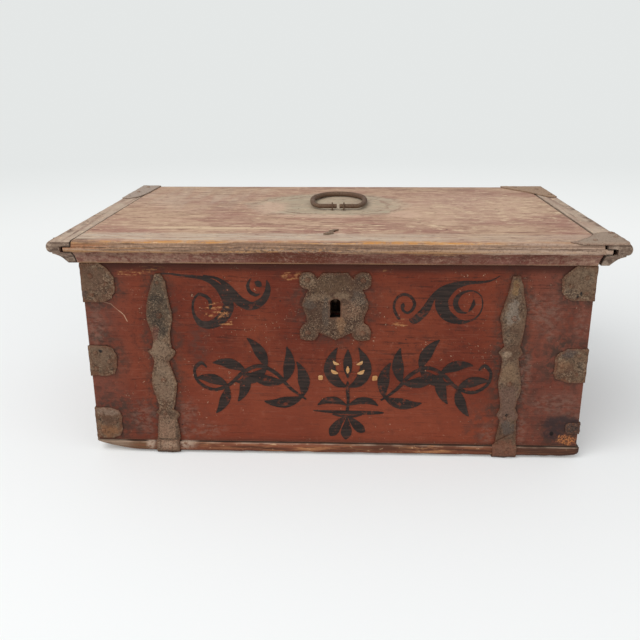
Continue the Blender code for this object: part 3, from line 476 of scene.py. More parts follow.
wallStainsAndShade = {
    "fresh": (0.275, 0.062, 0.030),
    "dirt": (0.080, 0.036, 0.026),
    "ironShadeAndDirt": (0.050, 0.029, 0.021),
    "dust": (0.230, 0.135, 0.098),
    "ochre": (0.420, 0.195, 0.076),
    "shade": (0.046, 0.015, 0.010),
    "dark": (0.040, 0.023, 0.022),
    "raw": (0.440, 0.165, 0.056),
    "peck": (0.036, 0.016, 0.012),
    "scratch": (0.460, 0.290, 0.185),
    "edge": (0.200, 0.105, 0.066),
    "hole": (0.012, 0.008, 0.007),
    "boreShade": (0.008, 0.006, 0.005),
    "sideDirt": (0.085, 0.050, 0.039),
    "sideRub": (0.300, 0.185, 0.130),
}
wallEdge = {"radius": 0.0016, "share": 0.7}
keyBore = {"x": (-0.007, 0.007, 0.0005), "z": (0.146, 0.176, 0.001), "deep": (0.0012, 0.0110, 0.0006)}


def wallEdges():
    return times(edges(wallEdge["radius"]), wallEdge["share"])


def frontColour(place):  # the front's red with its stains and its painted shade, used by the board and by the brush strokes
    marks = use(frontGroup, Vector=place)
    paint = use(redGroup, Vector=place, Stretch=grainX, Dull=times(marks["Ends"], 0.8))
    # painted shade under the lid's overhang, darkening the top of the front
    under = fade(split(place)[2], faces["rim"] - 0.012, faces["rim"] - 0.003, 0.0, 0.85)
    dark = frontSpots(place, frontMarks["dark"], ragged(place, 80.0, 1.6), 0.35)
    raw = frontSpots(place, frontMarks["raw"], ragged(place, 300.0, 3.2))
    colour = coat(
        wallStainsAndShade, paint["Color"],
        (times(frontSpots(place, frontMarks["fresh"], 0.0, 0.6), 0.35), "fresh"),
        (times(marks["Dirt"], 0.55), "dirt"),
        # painted shade and dirt round the irons
        (times(marks["Halo"], 0.82), "ironShadeAndDirt"),
        (times(marks["Dust"], 0.36), "dust"),
        (times(marks["Ochre"], 0.7), "ochre"),
        (under, "shade"),
        (times(dark, fade(cloud(place, 240.0, 5.0, 0.7), 0.34, 0.52, 0.4, 0.9)), "dark"),
        (times(raw, patches(place, 560.0, 0.50, 0.05), 0.9), "raw"),
        (times(marks["Pecks"], 0.85), "peck"))
    return colour, paint["Roughness"], paint["Height"], marks


frontScratch = {  # x and z in millimetres along one curved scratch, and how much of it shows from each point on
    "points": [(-236.5, 168.4), (-227.1, 165.8), (-220.2, 159.1), (-215.2, 154.7), (-211.8, 147.3)],
    "shares": [0.30, 0.35, 0.75, 0.75],
    "half": 0.0004,
}


def scratchMask(place):
    x, _, z = split(place)
    wobble = ragged(place, 160.0, 0.0016)
    points, half, found = frontScratch["points"], frontScratch["half"], []
    for (startX, startZ), (endX, endZ), share in zip(points, points[1:], frontScratch["shares"]):
        run, rise = (endX - startX) / 1000, (endZ - startZ) / 1000
        length = math.hypot(run, rise)
        offX, offZ = less(x, startX / 1000), less(z, startZ / 1000)
        along = add(times(offX, run / length), times(offZ, rise / length))
        across = less(times(offZ, run / length), times(offX, rise / length))
        line = fade(absolute(add(across, wobble)), half * 1.5, half * 0.5)
        found.append(times(between(along, 0.0, length, 0.0004), line, share))
    return most(*found)


def makeFrontPaint():
    place, normal = newMaterial("front red paint")
    colour, rough, height, _ = frontColour(place)
    x, y, z = split(place)
    # painted shade: the keyhole's bore through the board is coloured near black
    near, far, soft = keyBore["deep"]
    deep = between(y, faces["front"] + near, faces["front"] + far, soft)
    boreShade = times(between(x, *keyBore["x"]), between(z, *keyBore["z"]), deep)
    colour = coat(
        wallStainsAndShade, colour, (scratchMask(place), "scratch"),
        (wallEdges(), "edge"),
        (frontSpots(place, frontMarks["hole"]), "hole"),
        (fade(split(normal)[1], 0.2, 0.6), bareColour(place, grainX)[0]),
        (boreShade, "boreShade"))
    return finishMaterial(colour, rough, height, 0.0007)


def makeSidePaint(name, along, axis, sign):  # ends and back: the same paint, duller
    place, normal = newMaterial(name)
    paint = use(redGroup, Vector=shift(place, (0.7, 0.3, 0.9)), Stretch=along, Dull=0.75)
    low = fade(split(place)[2], 0.075, 0.012, 0.0, 0.7)
    rubbed = times(patches(shift(place, (1.3, 0, 0)), 75.0, 0.62, 0.09), patches(place, 300.0, 0.54, 0.1))
    facing = times(split(normal)[axis], float(-sign))
    colour = coat(
        wallStainsAndShade, paint["Color"],
        (times(most(low, patches(place, 26.0, 0.53, 0.12)), 0.62), "sideDirt"),
        (times(rubbed, 0.4), "sideRub"),
        (wallEdges(), "edge"),
        (fade(facing, 0.2, 0.6), bareColour(place, along)[0]))
    return finishMaterial(colour, paint["Roughness"], paint["Height"], 0.0007)


brushPaint = {
    "black": (0.020, 0.014, 0.012),
    "thin": (0.040, 0.026, 0.021),
    "ochre": (0.440, 0.215, 0.078),
    "ochrePale": (0.540, 0.320, 0.145),
    "dirt": (0.085, 0.058, 0.047),
}


def makeBrushPaint(name, thick, thin):
    place, _ = newMaterial(name)
    red, rough, height, marks = frontColour(place)
    bristle = streaks(place, (30, 1, 430), 4.0, 0.62)
    rubbed = times(patches(place, 50.0, 0.56, 0.10), patches(place, 280.0, 0.56, 0.06))
    lost = most(times(rubbed, 0.7), times(fade(bristle, 0.62, 0.72), 0.7), patches(place, 300.0, 0.67, 0.03))
    colour = coat(
        brushPaint, thick, (fade(bristle, 0.38, 0.64), thin),
        (most(lost, marks["Ochre"]), red),
        (times(marks["Dirt"], 0.3), "dirt"))
    return finishMaterial(colour, rough, height)


lidPaint = {
    "mauve": (0.375, 0.198, 0.143),
    "tan": (0.515, 0.345, 0.235),
    "redBrown": (0.215, 0.108, 0.075),
    "pink": (0.620, 0.420, 0.305),
    "wiped": (0.500, 0.368, 0.272),
    "grey": (0.520, 0.408, 0.310),
    "ring": (0.440, 0.365, 0.262),
    "cream": (0.690, 0.520, 0.345),
    "orange": (0.520, 0.245, 0.075),
    "crack": (0.120, 0.070, 0.047),
    "nose": (0.395, 0.250, 0.165),
    "noseDark": (0.200, 0.118, 0.079),
    "noseGrey": (0.480, 0.345, 0.262),
    "nosePale": (0.430, 0.310, 0.215),
    "ogee": (0.140, 0.039, 0.027),
    "ogeePale": (0.235, 0.098, 0.074),
    "ogeeTan": (0.350, 0.222, 0.155),
    "ogeeRed": (0.125, 0.031, 0.016),
    "ogeeCrack": (0.075, 0.032, 0.024),
    "ogeeSoot": (0.085, 0.028, 0.021),
    "ogeeSpeck": (0.400, 0.245, 0.170),
    "ogeeTopShade": (0.085, 0.034, 0.024),
    "flame": (0.310, 0.092, 0.028),
    "line": (0.430, 0.225, 0.100),
    "foot": (0.360, 0.185, 0.090),
    "brow": (0.140, 0.074, 0.042),
    "joint": (0.035, 0.022, 0.016),
}
lidMarks = {  # on the lid's top: ranges with their soft edges, fades, and ovals as centre and half sizes
    "bandY": (-0.168, -0.134, 0.005), "bandX": (0.16, 0.02, 0.5, 1.0),
    "streakY": (-0.114, -0.104, 0.003), "streakX": (-0.205, -0.060, 0.03),
    "frontFleckY": (-0.125, -0.085, 0.01), "frontFleckX": (-0.06, 0.15, 0.05),
    "rightFleckY": (-0.08, 0.11, 0.03), "rightFleckX": (0.05, 0.14),
    "cornerX": (-0.228, -0.244), "cornerY": (-0.158, -0.166),
    "wiped": ((-0.180, 0.090), (0.085, 0.085)),
    "ring": ((-0.012, 0.034), (0.092, 0.082)),  # rubbed by the handle
    "outerArc": (0.93, 0.96, 0.02), "innerArc": (0.75, 0.78, 0.02),
    "pale": [((-0.080, 0.012), (0.019, 0.040), 0.7), ((0.074, -0.026), (0.017, 0.018), 0.7),
             ((-0.020, -0.040), (0.05, 0.010), 0.7), ((0.0060, -0.1385), (0.005, 0.010), 0.7),
             ((0.150, 0.030), (0.09, 0.10), 0.38)],  # and the share of each
}


def lidTopColour(place, worn, grain):  # paint rubbed thin to tan wood along the grain
    x, y, _ = split(place)
    mottle = streaks(place, (36, 74, 75), 6.0, 0.7)
    thread = streaks(shift(place, (0.3, 0.8, 0)), (24, 165, 165), 4.0, 0.7)
    grit = streaks(place, (95, 165, 230), 5.0, 0.68)
    wiped = lidSpot(place, *lidMarks["wiped"], ragged(place, 20.0, 1.2), 0.5)["Mask"]
    ring = lidSpot(place, *lidMarks["ring"], ragged(place, 32.0, 0.5), 0.12)
    outer, inner = (between(ring["Reach"], *lidMarks[key]) for key in ("outerArc", "innerArc"))
    arcs = most(outer, times(inner, 0.9))
    rag, rubbed = ragged(place, 60.0, 1.6), []
    for centre, radii, share in lidMarks["pale"]:
        rubbed.append((times(lidSpot(place, centre, radii, rag, 0.4)["Mask"], share), "pink"))
    swaying = add(y, ragged(stretch(place, (1, 0.4, 1)), 22.0, 0.02))
    band = times(between(swaying, *lidMarks["bandY"]), fade(grain["Lines"], 0.62, 0.42, 0.4, 1.0),
                 fade(x, *lidMarks["bandX"]))
    streak = times(between(swaying, *lidMarks["streakY"]), between(x, *lidMarks["streakX"]))
    rows = most(times(between(y, *lidMarks["frontFleckY"]), between(x, *lidMarks["frontFleckX"])),
                times(fade(x, *lidMarks["rightFleckX"]), between(y, *lidMarks["rightFleckY"])), 0.3)
    corner = times(fade(x, *lidMarks["cornerX"]), fade(y, *lidMarks["cornerY"]), fade(mottle, 0.34, 0.50))
    return coat(
        lidPaint, "mauve", (fade(worn, 0.38, 0.62), "tan"),
        (times(wiped, fade(streaks(place, (70, 9, 1), 3.0), 0.36, 0.64, 0.2, 0.8)), "wiped"),
        (fade(mottle, 0.52, 0.70, 0.0, 0.5), "redBrown"),
        (fade(mottle, 0.46, 0.30, 0.0, 0.6), "pink"),
        (fade(thread, 0.54, 0.66, 0.0, 0.75), "redBrown"),
        (fade(thread, 0.45, 0.33, 0.0, 0.7), "pink"),
        (times(grain["Cracks"], 0.5), "redBrown"),
        (fade(grain["Lines"], 0.42, 0.24, 0.0, 0.5), "pink"),
        (times(ring["Mask"], fade(thread, 0.66, 0.42, 0.6, 0.95)), "ring"),
        (times(arcs, fade(mottle, 0.34, 0.50, 0.3, 1.0), 0.8), "redBrown"),
        *rubbed,
        (band, "grey"),
        (times(streak, 0.7), "cream"),
        (times(patches(stretch(place, (62, 190, 300)), 1.0, 0.58, 0.05), rows), "cream"),
        (times(corner, 0.85), "noseDark"),
        (fade(grit, 0.57, 0.67, 0.0, 0.6), "redBrown"),
        (fade(grit, 0.42, 0.32, 0.0, 0.7), "cream"),
        (times(pecked(stretch(place, (1, 0.5, 0)), 38.0, 0.055, 0.45), 0.75), "crack"))


moulding = {  # metres below the lid's top, with soft edges where a third number stands
    "flame": (0.0068, 0.0028, 0.0010), "turn": (0.0104, 0.0120), "line": (0.0130, 0.0121, 0.0004),
    "chewed": (0.0105, 0.0045, 0.0014), "ogeeTopShade": (0.0185, 0.0140), "top": (0.0050, 0.0020),
    "lip": (0.0020, 0.0012), "brow": (0.0040, 0.0019, 0.0004), "crack": (0.0062, 0.0048, 0.0005),
    "battenRim": (0.006, 0.002), "battenSide": (0.003, 0.009), "battenBrow": (0.0026, 0.0012, 0.0005),
}


def belowTop(key):  # those heights in the frame
    first, second, *soft = moulding[key]
    return (faces["lidTop"] - first, faces["lidTop"] - second, *soft)


def noseColour(place, grain, fine, broken):  # streaky upper half of the moulded front
    x, _, z = split(place)
    flame = times(fade(x, -0.205, -0.245, 0.0, 0.85), between(z, *belowTop("flame")))
    return coat(
        lidPaint, "nose", (fade(fine["Bands"], 0.36, 0.62), "noseDark"),
        (fade(fine["Lines"], 0.44, 0.26, 0.0, 0.9), "nosePale"),
        (times(fade(grain["Bands"], 0.52, 0.62), 0.4), "orange"),
        (times(flame, fade(fine["Lines"], 0.62, 0.40, 0.3, 1.0)), "flame"),
        (times(fade(x, 0.090, 0.200), fade(broken, 0.36, 0.58, 0.3, 0.75)), "noseGrey"),
        (times(fine["Cracks"], 0.8), "crack"))


def ogeeColour(place, fine, broken, fresh):  # dull red lower half of the moulded front, with painted shade along its top
    x, _, z = split(place)
    soot = cloud(shift(place, (0.6, 0, 0.2)), 48.0, 5.0, 0.65)
    rubbed = most(fade(x, -0.070, -0.150, 0.0, 0.8), fade(x, 0.185, 0.240, 0.0, 0.8),
                  times(between(x, 0.020, 0.140, 0.03), 0.3))
    heaps = fade(cloud(shift(place, (1.7, 0, 0.9)), 34.0, 3.0), 0.46, 0.60, 0.1, 1.0)
    return coat(
        lidPaint, "ogee", (fade(streaks(place, (22, 1, 70), 6.0, 0.65), 0.40, 0.64), "ogeePale"),
        (times(fine["Cracks"], 0.7), "ogeeCrack"),
        (fade(soot, 0.50, 0.64, 0.0, 0.7), "ogeeSoot"),
        (times(rubbed, fade(broken, 0.40, 0.58, 0.05, 0.80)), "ogeeTan"),
        (times(fresh, fade(broken, 0.64, 0.44, 0.45, 0.9)), "ogeeRed"),
        (times(patches(place, 300.0, 0.57, 0.05), fade(broken, 0.40, 0.58, 0.25, 0.8), heaps), "ogeeSpeck"),
        # painted shade: the ogee's upward-facing top is darkened against the light that falls on it from above
        (fade(z, *belowTop("ogeeTopShade"), 0.0, 0.15), "ogeeTopShade"))


def makeLidPaint():
    place, normal = newMaterial("worn lid paint")
    x, y, z = split(place)
    _, backward, up = split(normal)
    low = faces["lidLow"]
    grain = grainOf(place, (5, 62, 190), 0.006)
    fine = grainOf(place, (13, 200, 330), 0.003)
    worn = streaks(place, (9, 15, 10), 6.0, 0.62)
    broken = cloud(place, 160.0, 6.0, 0.7)
    flat = stretch(place, (1, 0, 1))
    # the moulded front, with rough places: pits and splinters along the nose, specks all over
    fresh = between(x, -0.076, 0.000, 0.014)
    turn = less(add(z, ragged(flat, 55.0, 0.0075)), times(fresh, 0.0016))
    line = times(between(z, *belowTop("line")), fade(worn, 0.44, 0.60))
    pits = streaks(place, (240, 1, 520), 4.0, 0.7)
    chewed = times(between(z, *belowTop("chewed")), between(x, -0.120, 0.030, 0.03))
    grit = cloud(shift(place, (0.4, 1.2, 2.6)), 480.0, 4.0, 0.7)
    front = coat(
        lidPaint, noseColour(place, grain, fine, broken),
        (fade(turn, *belowTop("turn")), ogeeColour(place, fine, broken, fresh)),
        (times(line, fade(broken, 0.42, 0.58, 0.0, 0.45)), "line"),
        (times(fade(z, low + 0.0018, low + 0.0006), fade(fine["Bands"], 0.36, 0.58, 0.0, 0.85)), "foot"),
        (times(chewed, fade(pits, 0.52, 0.59), 0.85), "crack"),
        (times(chewed, fade(pits, 0.43, 0.38), 0.6), "orange"),
        (fade(grit, 0.54, 0.62, 0.0, 0.45), "crack"),
        (fade(grit, 0.45, 0.38, 0.0, 0.30), "nosePale"))
    # the arris, worn to orange wood, with a crack below it
    strong = most(between(x, -0.238, -0.105, 0.02), between(x, -0.060, 0.150, 0.05), 0.3)
    lip = times(fade(y, -0.1655, -0.1685), fade(z, *belowTop("lip")), strong,
                fade(fine["Bands"], 0.58, 0.44, 0.05, 1.0), fade(broken, 0.62, 0.44, 0.2, 1.0))
    lipWood = coat(lidPaint, "orange", (fade(fine["Lines"], 0.48, 0.30), "cream"))
    brow = times(between(z, *belowTop("brow")), fade(y, -0.1655, -0.1680), fade(broken, 0.34, 0.50))
    crack = between(add(z, ragged(flat, 40.0, 0.004)), *belowTop("crack"))
    crack = times(crack, fade(broken, 0.36, 0.54), fade(up, 0.9, 0.7), 0.7)
    underside = times(fade(up, -0.5, -0.9), fade(z, low + 0.0016, low + 0.0007))
    joint = jointDirt(place)
    colour = coat(
        lidPaint, front,
        (times(fade(up, 0.86, 0.98), fade(z, *belowTop("top"))), lidTopColour(place, worn, grain)),
        (lip, lipWood),
        (times(brow, 0.5), "brow"),
        (crack, "crack"),
        (underside, bareColour(place, grainX)[0]),
        (fade(backward, 0.4, 0.8, 0.0, 0.7), "redBrown"),
        (times(joint, 0.85), "joint"))
    height = add(times(fine["Lines"], 0.5), times(grain["Lines"], 0.4))
    height = less(height, times(most(fine["Cracks"], joint), 0.5))
    return finishMaterial(colour, fade(worn, 0.3, 0.7, 0.62, 0.85), height, 0.0008)


battenWood = {
    "grey": (0.400, 0.300, 0.225),
    "pale": (0.510, 0.395, 0.300),
    "mauve": (0.285, 0.182, 0.140),
    "pink": (0.420, 0.270, 0.200),
    "dark": (0.105, 0.068, 0.050),
    "endGrain": (0.205, 0.142, 0.102),
}


def makeBattenWood():
    place, normal = newMaterial("worn batten wood")
    x, y, z = split(place)
    grain = grainOf(place, (150, 5, 150))
    worn = streaks(place, (45, 16, 45), 6.0, 0.65)
    ends = streaks(place, (120, 1, 260), 5.0, 0.65)
    rim = times(fade(absolute(x), 0.266, 0.276, 0.15, 0.85), fade(z, *belowTop("battenRim"), 0.2, 1.0))
    side = coat(battenWood, "endGrain", (fade(worn, 0.4, 0.6), lidPaint["ogee"]))
    endWood = coat(
        battenWood, "endGrain", (fade(ends, 0.38, 0.60), "dark"),
        (times(patches(place, 150.0, 0.56, 0.06), 0.7), "grey"))
    brow = times(fade(y, -0.166, -0.169), between(z, *belowTop("battenBrow")))
    colour = coat(
        battenWood, "grey", (fade(worn, 0.38, 0.60), "pale"),
        (fade(grain["Bands"], 0.50, 0.68, 0.0, 0.8), "mauve"),
        (times(patches(shift(place, (0.4, 0.1, 0)), 30.0, 0.52, 0.10), 0.45), "pink"),
        (times(grain["Cracks"], 0.6), "dark"),
        (times(patches(place, 60.0, 0.58, 0.09), rim), "dark"),
        (patches(stretch(place, (300, 110, 300)), 1.0, 0.64, 0.04), lidPaint["cream"]),
        (fade(z, *belowTop("battenSide"), 0.0, 0.75), side),
        (fade(absolute(split(normal)[1]), 0.5, 0.8), endWood),
        (times(edges(0.0018), fade(worn, 0.60, 0.40), 0.5), "pale"),
        (times(brow, fade(ends, 0.62, 0.42, 0.2, 0.8)), "dark"),
        (times(jointDirt(place), 0.85), lidPaint["joint"]))
    height = add(times(grain["Lines"], 0.7), times(ends, 0.4))
    return finishMaterial(colour, 0.78, less(height, times(grain["Cracks"], 0.5)), 0.0008)


bottomWood = {
    "red": (0.205, 0.066, 0.034),
    "dark": (0.090, 0.033, 0.019),
    "worn": (0.400, 0.180, 0.080),
    "fleck": (0.540, 0.335, 0.185),
    "leftEnd": (0.150, 0.083, 0.042),
    "rightEnd": (0.062, 0.029, 0.019),
    "dust": (0.430, 0.300, 0.215),
    "gutter": (0.024, 0.015, 0.011),
    "grey": (0.280, 0.200, 0.142),
    "heap": (0.430, 0.315, 0.235),
    "foot": (0.100, 0.044, 0.026),
}
bottomInside = 0.006  # metres from the walls' outer faces to where bare wood begins


def makeBottomWood():
    place, normal = newMaterial("worn bottom board")
    x, y, z = split(place)
    low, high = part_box("bottom_board")
    grain = grainOf(place, (9, 190, 260))
    worn = patches(stretch(place, (34, 60, 230)), 1.0, 0.56, 0.06)
    rubbed = most(between(x, -0.075, -0.005, 0.02), between(x, 0.080, 0.130, 0.02), 0.3)
    ledge = fade(z, high.z - 0.0020, high.z - 0.0006)
    swept = fade(streaks(place, (48, 160, 1)), 0.40, 0.58, 0.20, 1.0)
    dust = times(ledge, fade(grain["Lines"], 0.66, 0.44, 0.35, 1.0), swept)
    gutter = times(ledge, fade(y, faces["front"] - 0.0024, faces["front"] - 0.0013))
    corner = spot(place, (-0.250, -0.163, 0.009), (0.032, 0.03, 0.009), ragged(place, 60.0, 1.2), 0.3)["Mask"]
    heaps = []
    for at, wide in ((-0.1575, 0.008), (-0.1972, 0.004)):  # dust beside the left strap
        heap = spot(place, (at, -0.163, 0.0120), (wide, 0.03, 0.0065), ragged(place, 120.0, 1.8), 0.7)["Mask"]
        heaps.append((times(heap, patches(place, 240.0, 0.44, 0.10), 0.8), "heap"))
    left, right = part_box("left_end_board")[0].x + bottomInside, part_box("right_end_board")[1].x - bottomInside
    near, far = faces["front"] + bottomInside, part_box("back_board")[1].y - bottomInside
    bare = most(times(between(x, left, right, 0.002), between(y, near, far, 0.002)), less(1.0, ledge))
    colour = coat(
        bottomWood, "red", (fade(grain["Bands"], 0.38, 0.62), "dark"),
        (times(worn, rubbed, 0.9), "worn"),
        (patches(stretch(place, (130, 300, 330)), 1.0, 0.65, 0.04), "fleck"),
        (times(grain["Cracks"], 0.7), "dark"),
        (times(fade(x, 0.182, 0.212), fade(grain["Lines"], 0.30, 0.52, 0.45, 0.9)), "rightEnd"),
        (times(fade(x, -0.186, -0.204), fade(grain["Bands"], 0.36, 0.60, 0.25, 0.75)), "leftEnd"),
        (times(dust, 0.85), "dust"),
        (times(gutter, 0.9), "gutter"),
        (times(corner, fade(grain["Lines"], 0.36, 0.62, 0.4, 0.9)), "grey"),
        *heaps,
        (fade(z, low.z + 0.0035, low.z + 0.0002, 0.0, 0.7), "foot"),
        (times(fade(absolute(split(normal)[2]), 0.9, 0.99), bare), bareColour(place, grainX)[0]))
    return finishMaterial(colour, 0.75, add(grain["Lines"], times(cloud(place, 300.0), 0.5)), 0.0008)


ironLooks = {  # shares of pale grit, rust and pits, then stains and painted shading: colour, share and places as in frontMarks
    "leftStrap": {"pale": 0.60, "rust": 0.35, "pits": 0.42, "grit": 0.60, "stainsAndShading": [
        ((0.050, 0.035, 0.022), 0.70, [(-179, 165, 14, 26)]),
        ((0.022, 0.016, 0.012), 0.70, [(-182, 152, 9, 8), (-176, 138, 5, 5), (-180, 172, 7, 5)]),
        ((0.060, 0.030, 0.017), 0.90, [(-178, 44, 9, 5.0)]),
        ((0.120, 0.034, 0.022), 0.80, [(-184, 135, 4, 8)]),
        ((0.225, 0.148, 0.096), 0.65, [(-181, 117, 11, 10), (-178, 82, 10, 24)]),
        ((0.280, 0.160, 0.103), 0.70, [(-179, 20, 12, 22)]),
        # painted highlight below the bend over the base's ledge
        ((0.360, 0.245, 0.168), 0.55, [(-177, 10.5, 9, 3.0)]),
        # painted shade in the crease where the strap bends over the ledge
        ((0.040, 0.026, 0.017), 0.85, [(-179, 15.4, 14, 1.4)]),
        # painted shade along the sides of the strap's foot, and darker at its lower end
        ((0.050, 0.029, 0.019), 0.85, [(-166.5, 24, 3.5, 14), (-179, 1.5, 14, 3.0), (-190, 30, 3.0, 12)])]},
    "rightStrap": {"pale": 0.40, "rust": 0.30, "pits": 0.55, "grit": 0.35, "tint": (0.30, (0.085, 0.046, 0.028)),
                   "stainsAndShading": [
        ((0.270, 0.150, 0.058), 0.55, [(177, 186, 3.5, 8)]),
        ((0.300, 0.255, 0.205), 0.50, [(176, 160, 6.5, 12)]),
        ((0.400, 0.285, 0.190), 0.50, [(173.5, 116, 4, 5)]),
        ((0.320, 0.200, 0.112), 0.38, [(177, 93, 8, 12)]),
        ((0.135, 0.072, 0.052), 0.80, [(178, 68, 11, 16), (178, 48, 13, 8)]),
        ((0.080, 0.061, 0.051), 0.85, [(181, 34, 7, 9)]),
        ((0.165, 0.064, 0.037), 0.90, [(178, 6, 18, 12)]),
        ((0.045, 0.026, 0.019), 0.85, [(178, 0.5, 14, 2.4)]),
        ((0.012, 0.009, 0.008), 1.00, [(178.2, 48.7, 1.5, 1.7)])]},
    "plate": {"pale": 0.50, "rust": 0.40, "pits": 0.50, "grit": 0.40, "stainsAndShading": [
        ((0.112, 0.060, 0.036), 0.70, [(-246, 193, 13, 13)]),
        ((0.150, 0.094, 0.058), 0.60, [(-244, 112, 12, 14)]),
        ((0.195, 0.080, 0.032), 0.85, [(-241, 25, 10, 9)]),
        ((0.085, 0.040, 0.023), 0.80, [(-240, 34, 8, 6)]),
        ((0.235, 0.158, 0.114), 0.75, [(-238, 47, 15, 5.0), (-224, 30, 2.8, 13)]),
        ((0.036, 0.024, 0.023), 0.95, [(248, 38, 16, 16)]),
        ((0.270, 0.150, 0.080), 0.50, [(231, 105, 5, 7)]),
        ((0.185, 0.122, 0.076), 0.50, [(245, 194, 15, 13)]),
        ((0.055, 0.042, 0.042), 0.65, [(236, 118, 7, 5), (-253, 176, 3, 4)]),
        ((0.012, 0.009, 0.008), 1.00, [(238, 177.5, 1.2, 2.2), (241.4, 180.5, 1.0, 2.0), (-242.4, 115, 1.8, 1.8)])]},
    "lock": {"pale": 0.60, "rust": 0.35, "pits": 0.90, "grit": 0.85, "tint": (0.50, (0.050, 0.022, 0.012)),
             "stainsAndShading": [
        ((0.055, 0.025, 0.014), 0.55, [(0, 166, 40, 40)]),
        ((0.108, 0.062, 0.032), 0.60, [(-8, 187, 24, 9)]),
        ((0.280, 0.188, 0.116), 0.45, [(-27, 193, 7, 7), (-14, 174, 12, 4), (8, 177, 10, 4)]),
        ((0.080, 0.056, 0.041), 0.85, [(-9.5, 160, 4, 14)]),
        ((0.080, 0.062, 0.048), 0.60, [(23, 174, 8, 8), (-26, 167, 6, 5)]),
        ((0.260, 0.145, 0.088), 0.50, [(15, 161, 11, 9), (28, 142, 7, 7)]),
        ((0.300, 0.155, 0.074), 0.55, [(6, 145, 5, 8)])]},
    "lidPlate": {"pale": 0.35, "rust": 0.30, "pits": 0.60, "tint": (0.80, (0.400, 0.300, 0.225)), "edges": 0.7,
                 "stainsAndShading": [((0.290, 0.185, 0.135), 0.75, [(252, 230, 36, 4.0)])]},
    "palePlate": {"pale": 0.30, "rust": 0.20, "pits": 0.50, "tint": (0.82, (0.460, 0.365, 0.298)), "edges": 0.5},
    "brownPlate": {"pale": 0.30, "rust": 0.30, "pits": 0.60, "tint": (0.80, (0.440, 0.290, 0.190)), "edges": 0.8},
    "catch": {"pale": 0.30, "rust": 0.30, "pits": 0.50, "tint": (0.80, (0.270, 0.190, 0.132)), "edges": 0.3},
    "bail": {"pale": 0.30, "rust": 0.40, "pits": 0.60, "tint": (0.60, (0.150, 0.090, 0.058))},
    "inner": {"pale": 0.25, "rust": 0.60, "pits": 0.50},
}


def makeIron(name, look, offset):
    place, _ = newMaterial(name, 0.25)
    iron = use(ironGroup, Vector=shift(place, offset), Pale=look["pale"], Rust=look["rust"], Pits=look["pits"])
    colour, grit = iron["Color"], iron["Grit"]
    if "tint" in look:
        colour = coat(oldIron, colour, look["tint"], (fade(grit, 0.44, 0.32, 0.0, 0.6), "dark"))
    rag = ragged(place, 170.0, 2.2)
    broken = fade(grit, 0.36, 0.56, 0.42, 1.0)
    for over, share, marks in look.get("stainsAndShading", ()):
        covered = times(frontSpots(place, marks, rag, 0.3), share)
        colour = blend(times(covered, broken) if share < 1.0 else covered, colour, over)
    crumbs = cloud(shift(place, (0.9, 2.1, 1.4)), 760.0, 4.0, 0.72)
    crusted = times(fade(cloud(place, 90.0, 4.0, 0.6), 0.40, 0.58, 0.25, 1.0), look.get("grit", 0.25))
    colour = coat(
        oldIron, colour, (times(fade(crumbs, 0.54, 0.61), crusted), "crumb"),
        (times(fade(crumbs, 0.49, 0.40), crusted), "dark"),
        # painted shade along the irons' edges, where they meet the wood; the look's edges value sets how much
        (times(edges(0.0010), fade(grit, 0.60, 0.44, 0.2, 0.8), look.get("edges", 1.0)), "dark"))
    if "stainsAndShading" in look:  # rusty borders
        colour = coat(oldIron, colour, (times(edges(0.0042), fade(grit, 0.62, 0.40, 0.15, 0.75)), "rust"))
    return finishMaterial(colour, iron["Roughness"], iron["Height"], 0.0007)


materials = {
    "front": makeFrontPaint(),
    "left": makeSidePaint("left end red paint", grainY, 0, -1),
    "right": makeSidePaint("right end red paint", grainY, 0, 1),
    "back": makeSidePaint("back red paint", grainX, 1, 1),
    "lid": makeLidPaint(),
    "batten": makeBattenWood(),
    "bottom": makeBottomWood(),
    "peg": makeInsideWood("peg wood", grainZ),
    "black": makeBrushPaint("black brush paint", "black", "thin"),
    "ochre": makeBrushPaint("ochre brush paint", "ochre", "ochrePale"),
}
for index, (key, look) in enumerate(ironLooks.items()):
    materials[key] = makeIron("iron " + key, look, (0.37 * index, 0.2, 0.7))
print("materials:", len(materials))


# aged copies of the CAD pieces

def addPiece(name, shape, body, material, smooth=35.0):
    mesh = bpy.data.meshes.new(name)
    bmesh.ops.recalc_face_normals(shape, faces=shape.faces)
    shape.to_mesh(mesh)
    shape.free()
    mesh.shade_smooth()
    mesh.set_sharp_from_angle(angle=math.radians(smooth))
    piece = bpy.data.objects.new(name, mesh)
    bpy.context.scene.collection.objects.link(piece)
    mesh.materials.append(material)
    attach(piece, body)
    return piece


aging = {
    "merge": 1e-6, "cut": 1e-7,  # metres within which points are one
    "flat": 0.01, "sharp": 0.6,  # radians at an edge that is taken out, and at one that is softened
    "apart": 0.37, "drift": (1.0, 0.7, 1.3),  # each name's length moves its unevenness along
}


